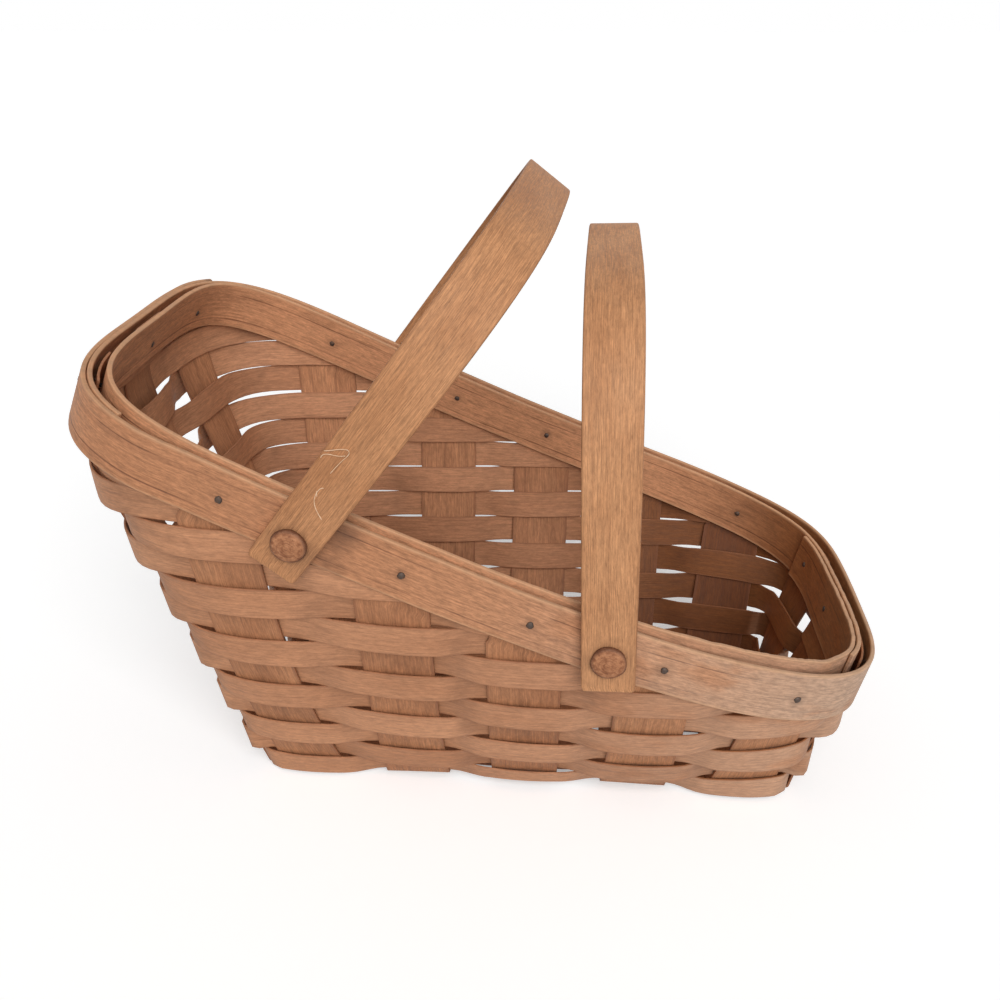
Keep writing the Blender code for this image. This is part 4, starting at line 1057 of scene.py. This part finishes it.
def peg_end_grain():
    """Rings, blotches and specks read from the peg's own UV map, which counts metres from its middle."""
    material, tree, shader = new_material("peg_end_grain")
    x, y = uv_of(tree, "peg")
    blotch, speck = strip_noise(tree, x, y, *BLOTCHES), strip_noise(tree, x, y, *SPECKS)
    from_middle = maths(tree, "SQRT", maths(tree, "ADD", maths(tree, "POWER", x, 2.0),
                                            maths(tree, "POWER", y, 2.0)))
    rings = maths(tree, "SINE", maths(tree, "ADD", times(tree, from_middle, RING_OFTEN),
                                      times(tree, blotch, RING_WANDER)))
    rings = ramp_between(tree, rings, *RING_SPAN)
    specks = ramp_between(tree, speck, *SPECK_SPAN)
    rim = ramp_between(tree, from_middle, *(PEG_HEAD_RADIUS * share for share in RIM_SPAN))
    colour = mixed(tree, ramp_between(tree, blotch, *BLOTCH_SPAN), PEG_PALE, PEG_DEEP)
    for mask, strength, over in ((rings, RING_STRENGTH, PEG_RING), (specks, SPECK_STRENGTH, PEG_SPECK),
                                 (rim, RIM_STRENGTH, PEG_RIM)):
        colour = mixed(tree, times(tree, mask, strength), colour, over)
    relief = maths(tree, "ADD", rings, times(tree, speck, SPECK_HEIGHT))
    feed(tree, shader, {"Base Color": colour, "Specular IOR Level": WOOD_SHINE,
                        "Roughness": ramp_between(tree, blotch, *PEG_ROUGHNESS),
                        "Normal": bumps(tree, relief, *PEG_BUMP)})
    return material


nail_iron, peg_wood = iron(), peg_end_grain()
print("peg wood nodes:", len(peg_wood.node_tree.nodes))


# %% Spin a round piece
def turned_piece(name, profile, steps, matrix, unevenness, rng):
    """A round piece spun from (radius, height) points, from the middle of its top to that of its foot."""
    work = bmesh.new()
    uv = work.loops.layers.uv.new("peg")
    verts = [work.verts.new((radius, 0, height)) for radius, height in profile]
    edges = [work.edges.new(pair) for pair in zip(verts, verts[1:])]
    bmesh.ops.spin(work, geom=verts + edges, cent=(0, 0, 0), axis=(0, 0, 1), dvec=(0, 0, 0),
                   angle=2 * math.pi, steps=steps, use_merge=True, use_duplicate=False)
    bmesh.ops.remove_doubles(work, verts=work.verts[:], dist=1e-6)
    bmesh.ops.recalc_face_normals(work, faces=work.faces[:])
    phases = rng.uniform(0, 2 * math.pi, 3)
    for vertex in work.verts:
        angle = math.atan2(vertex.co.y, vertex.co.x)
        swell = 1 + unevenness * sum(math.sin(n * angle + p) for n, p in zip((2, 3, 5), phases)) / 3
        vertex.co.x, vertex.co.y = vertex.co.x * swell, vertex.co.y * swell
        for loop in vertex.link_loops:
            loop[uv].uv = vertex.co.xy
    for face in work.faces:
        face.smooth = True
    work.transform(matrix)
    bmesh.ops.recalc_face_normals(work, faces=work.faces[:])
    return new_piece(name, work)


# %% Drive the nails and turn the pegs
# The nails' head over the outer hoop and clinched end on the inner one, as (radius, height) points.
NAIL_HEAD = ((0, 0.0009), (0.00108, 0.0008), (0.0018, 0.0003), (0.0018, -0.0001), (0.0009, -0.0001))
NAIL_CLINCH = ((0.0009, 0), (0.0016, 0), (0.0014, -0.0004), (0, -0.0006))
NAIL_STEPS, NAIL_UNEVENNESS = 18, 0.12
PEG_STEPS, PEG_UNEVENNESS, DOME_SHARES = 40, 0.035, (0.25, 0.45, 0.65, 0.8, 0.92)
PEG_FOOT = ((0, 0.0008), (-0.0004, 0.0002), (-0.0012, 0), (-PEG_RADIUS, -0.0003))

rng = np.random.default_rng(31)
for stake_end, (place, outward, outer, inner) in enumerate(nails):
    profile = [(radius, height + outer) for radius, height in NAIL_HEAD]
    profile += [(radius, height - inner) for radius, height in NAIL_CLINCH]
    piece = turned_piece(f"nail_{stake_end + 1:02d}_iron", profile, NAIL_STEPS,
                         Matrix.Translation(place) @ aimed(outward, "Z"), NAIL_UNEVENNESS, rng)
    keep(piece, f"nail_{stake_end + 1:02d}", nail_iron)
for end, side in peg_places:
    foot, seat = peg_wall_distance(end, side), HANDLE_OUTER_FACE + LAYER_GAP
    dome = [(PEG_HEAD_RADIUS * share,
             seat + PEG_HEAD_RIM + (PEG_HEAD_HEIGHT - PEG_HEAD_RIM) * math.sqrt(1 - share ** 2))
            for share in DOME_SHARES]
    profile = [(0, seat + PEG_HEAD_HEIGHT), *dome, (PEG_HEAD_RADIUS, seat + PEG_HEAD_RIM),
               (PEG_HEAD_RADIUS * 0.99, seat), (PEG_RADIUS, seat)]
    profile += [(PEG_RADIUS + inset, foot + height) for inset, height in PEG_FOOT]
    piece = turned_piece(f"{end}_end_peg_{PEG_SIDES[side]}_turned", profile, PEG_STEPS,
                         hinge_frame(end) @ aimed((0, side, 0), "Z"), PEG_UNEVENNESS, rng)
    keep(piece, f"{end}_end_peg_{PEG_SIDES[side]}", peg_wood)
print("nails driven:", len(nails), "pegs turned:", len(peg_places))

# %% [markdown]
# ## Handles
#
# Each handle is one flat strip, bent while hot into a square arch and bored for its two pegs.
# The path is the same soft rectangle as the rim, cut in half. It is laid out evenly by length,
# because the superellipse's own steps bunch up at its corners. The bores are cut with a Boolean
# that is applied at once, so no cutter is left in the scene.

# %% Bend the handles
HANDLE_STEP, HANDLE_PLACES, HANDLE_SAMPLES, HANDLE_EDGE = 0.0025, 11, 4001, 0.0008
HANDLE_END_SHARE, HANDLE_END_CUT, HANDLE_END_RUN = 0.93, 0.07, 0.002
BORE_SEGMENTS, BORE_GAP = 32, 0.0003
# A painted shadow of the peg head rings the pivot on each handle, and a darker patch lies beside the peg.
PEG_HEAD_SHADOW, PEG_HEAD_SHADOW_REACH, PEG_HEAD_SHADOW_FADE = 0.42, 0.0118, 0.0035
PEG_SIDE_PATCH, PEG_SIDE_PATCH_SPREAD = 0.28, 1.2
PEG_SIDE_PATCH_PLACE, PEG_SIDE_PATCH_SIZE = (0.011, -0.001), (0.010, 0.012)


def handle_path():
    """The loop in its own upright plane, with the pivot axis through the origin."""
    half_span = HANDLE_INNER_FACE + HANDLE_THICKNESS / 2
    y, z = superellipse(np.linspace(0, math.pi, HANDLE_SAMPLES), half_span, HANDLE_HEIGHT, HANDLE_SQUARENESS)
    y, z = np.concatenate([[half_span], y, [-half_span]]), np.concatenate([[-HANDLE_STUB], z, [-HANDLE_STUB]])
    length = lengths_along(y, z)
    even = np.linspace(0, length[-1], round(length[-1] / HANDLE_STEP))
    y, z = np.interp(even, length, y), np.interp(even, length, z)
    widening = 1 + (HANDLE_TOP_WIDTH_SHARE - 1) * np.clip(z / HANDLE_HEIGHT, 0, 1)
    from_end = np.clip((z + HANDLE_STUB) / HANDLE_END_RUN, 0, 1)
    half_width = HANDLE_WIDTH / 2 * widening * (HANDLE_END_SHARE + HANDLE_END_CUT * from_end)
    return np.stack([np.stack([half_width * share, y, z], axis=-1)
                     for share in np.linspace(-1, 1, HANDLE_PLACES)], axis=1)


def bored(piece, hinge):
    """Cut the holes for the pegs, and leave the piece as a plain mesh."""
    cutter_work = bmesh.new()
    bmesh.ops.create_cone(cutter_work, cap_ends=True, segments=BORE_SEGMENTS, radius1=PEG_RADIUS + BORE_GAP,
                          radius2=PEG_RADIUS + BORE_GAP, depth=3 * HANDLE_OUTER_FACE,
                          matrix=hinge @ Matrix.Rotation(math.radians(90), 4, "X"))
    cutter = new_piece("bore", cutter_work)
    boolean = piece.modifiers.new("bore", "BOOLEAN")
    boolean.operation, boolean.object = "DIFFERENCE", cutter
    mesh = mesh_of(piece)
    piece.modifiers.clear()
    piece.data = mesh
    bpy.data.objects.remove(cutter)
    return piece


for end in HINGES:
    points = handle_path()
    x, z = points[..., 0], points[..., 2]
    # Painted shadow of the peg head round the pivot, and the darker patch beside it.
    peg_head_shadow = PEG_HEAD_SHADOW * np.clip((PEG_HEAD_SHADOW_REACH - np.hypot(x, z)) / PEG_HEAD_SHADOW_FADE, 0, 1)
    from_patch_middle = np.hypot((x - PEG_SIDE_PATCH_PLACE[0]) / PEG_SIDE_PATCH_SIZE[0], (z - PEG_SIDE_PATCH_PLACE[1]) / PEG_SIDE_PATCH_SIZE[1])
    dirt_and_shade = np.maximum(peg_head_shadow, PEG_SIDE_PATCH * np.clip(PEG_SIDE_PATCH_SPREAD - from_patch_middle, 0, 1))
    matrix = np.array(handle_frame(end))
    world = points @ matrix[:3, :3].T + matrix[:3, 3]
    piece = strip(f"{end}_end_handle_bow", world, HANDLE_THICKNESS, HANDLE_EDGE, dirt_and_shade)
    keep(bored(piece, hinge_frame(end)), f"{end}_end_handle", handle_wood)
print("handles bent:", len(HINGES))

# %% [markdown]
# ## Loose fibres
#
# A few pale fibres have come away from the front arm of the high end's handle and curl on its face.
# Each is drawn as a thin curve that rests on the wood, and is kept as a mesh that rides with the
# handle.

# %% Lay the loose fibres
FIBRE_RADIUS, FIBRE_LIFT, FIBRE_OFTEN, FIBRE_SPAN = 0.00017, 0.6, 700, (0.3, 0.7)
FIBRE_PALE, FIBRE_DEEP = (0.85, 0.62, 0.42), (0.70, 0.45, 0.27)
FIBRES = (((-0.0121, 0.0497), (-0.0104, 0.0512), (-0.0082, 0.0539), (-0.0045, 0.0572), (-0.0028, 0.0554),
           (-0.0036, 0.0520), (-0.0042, 0.0480), (-0.0045, 0.0425)),
          ((-0.0116, 0.0460), (-0.0122, 0.0478), (-0.0095, 0.0502), (-0.0060, 0.0512), (-0.0040, 0.0535)),
          ((-0.0030, 0.0345), (-0.0044, 0.0338), (-0.0046, 0.0274), (-0.0006, 0.0233), (0.0045, 0.0209)),
          ((-0.0046, 0.0312), (-0.0032, 0.0292)))

pale_fibre, tree, shader = new_material("pale_fibre")
shade = ramp_between(tree, place_noise(tree, FIBRE_OFTEN), *FIBRE_SPAN)
feed(tree, shader, {"Base Color": mixed(tree, shade, FIBRE_PALE, FIBRE_DEEP)})
handle = handle_frame("high")
for number, trail in enumerate(FIBRES, 1):
    curve = bpy.data.curves.new(f"loose_fibre_{number}", "CURVE")
    curve.dimensions, curve.use_fill_caps = "3D", True
    curve.bevel_depth, curve.bevel_resolution = FIBRE_RADIUS, 2
    line = curve.splines.new("NURBS")
    line.points.add(len(trail) - 1)
    for point, (across, up) in zip(line.points, trail):
        point.co = (*(handle @ Vector((across, -HANDLE_OUTER_FACE - FIBRE_RADIUS * FIBRE_LIFT, up))), 1)
    line.use_endpoint_u, line.order_u, line.resolution_u = True, 4, 8
    drawn = in_scene(f"loose_fibre_{number}_curve", curve)
    mesh = mesh_of(drawn)
    bpy.data.objects.remove(drawn)
    piece = in_scene(f"loose_fibre_{number}", mesh)
    coat(piece, pale_fibre)
    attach(piece, "high_handle")
print("loose fibres:", len(FIBRES))

# %% [markdown]
# ## The room
#
# The basket stands on a plain pale floor in soft light. One sun, 50 degrees wide, gives soft
# shadows, and its strength is kept at a level where a colour looks as it is written. The white round
# the basket comes from the world and the floor themselves, through Light Path, not from more light.

# %% Floor, world and sun
FLOOR_SIZE, FLOOR_ROUGHNESS, FLOOR_GREY, FLOOR_SEEN, FLOOR_GLOW = 12.0, 0.9, 0.50, 0.93, 0.31
WORLD_LIGHT, WORLD_SEEN = 0.28, 0.72
SUN_DIRECTION, SUN_STRENGTH, SUN_WIDTH = (-0.24, 1.0, -0.72), 2.6, math.radians(50)


def where_seen(tree):
    """1 for rays from the camera, and for reflections and glass."""
    rays = tree.nodes.new("ShaderNodeLightPath").outputs
    seen = maths(tree, "MAXIMUM", rays["Is Camera Ray"], rays["Is Glossy Ray"])
    return maths(tree, "MAXIMUM", seen, rays["Is Transmission Ray"])


floor_work = bmesh.new()
bmesh.ops.create_grid(floor_work, x_segments=1, y_segments=1, size=FLOOR_SIZE)
floor = new_piece("floor", floor_work)
paper, tree, shader = new_material("pale_floor")
seen = where_seen(tree)
feed(tree, shader, {"Base Color": mixed(tree, seen, 3 * (FLOOR_GREY,), 3 * (FLOOR_SEEN,)),
                    "Roughness": FLOOR_ROUGHNESS, "Emission Color": (1, 1, 1),
                    "Emission Strength": times(tree, seen, FLOOR_GLOW)})
coat(floor, paper)

world = bpy.data.worlds.new("soft_room")
bpy.context.scene.world = world
world.use_nodes = True
tree = world.node_tree
strength = maths(tree, "ADD", times(tree, where_seen(tree), WORLD_SEEN), WORLD_LIGHT)
feed(tree, tree.nodes["Background"], {"Color": (1, 1, 1), "Strength": strength})

sun = in_scene("key", bpy.data.lights.new("key", "SUN"))
sun.data.energy, sun.data.angle = SUN_STRENGTH, SUN_WIDTH
sun.matrix_world = aimed(SUN_DIRECTION, "-Z")
print("lamps:", [light.name for light in bpy.data.lights])
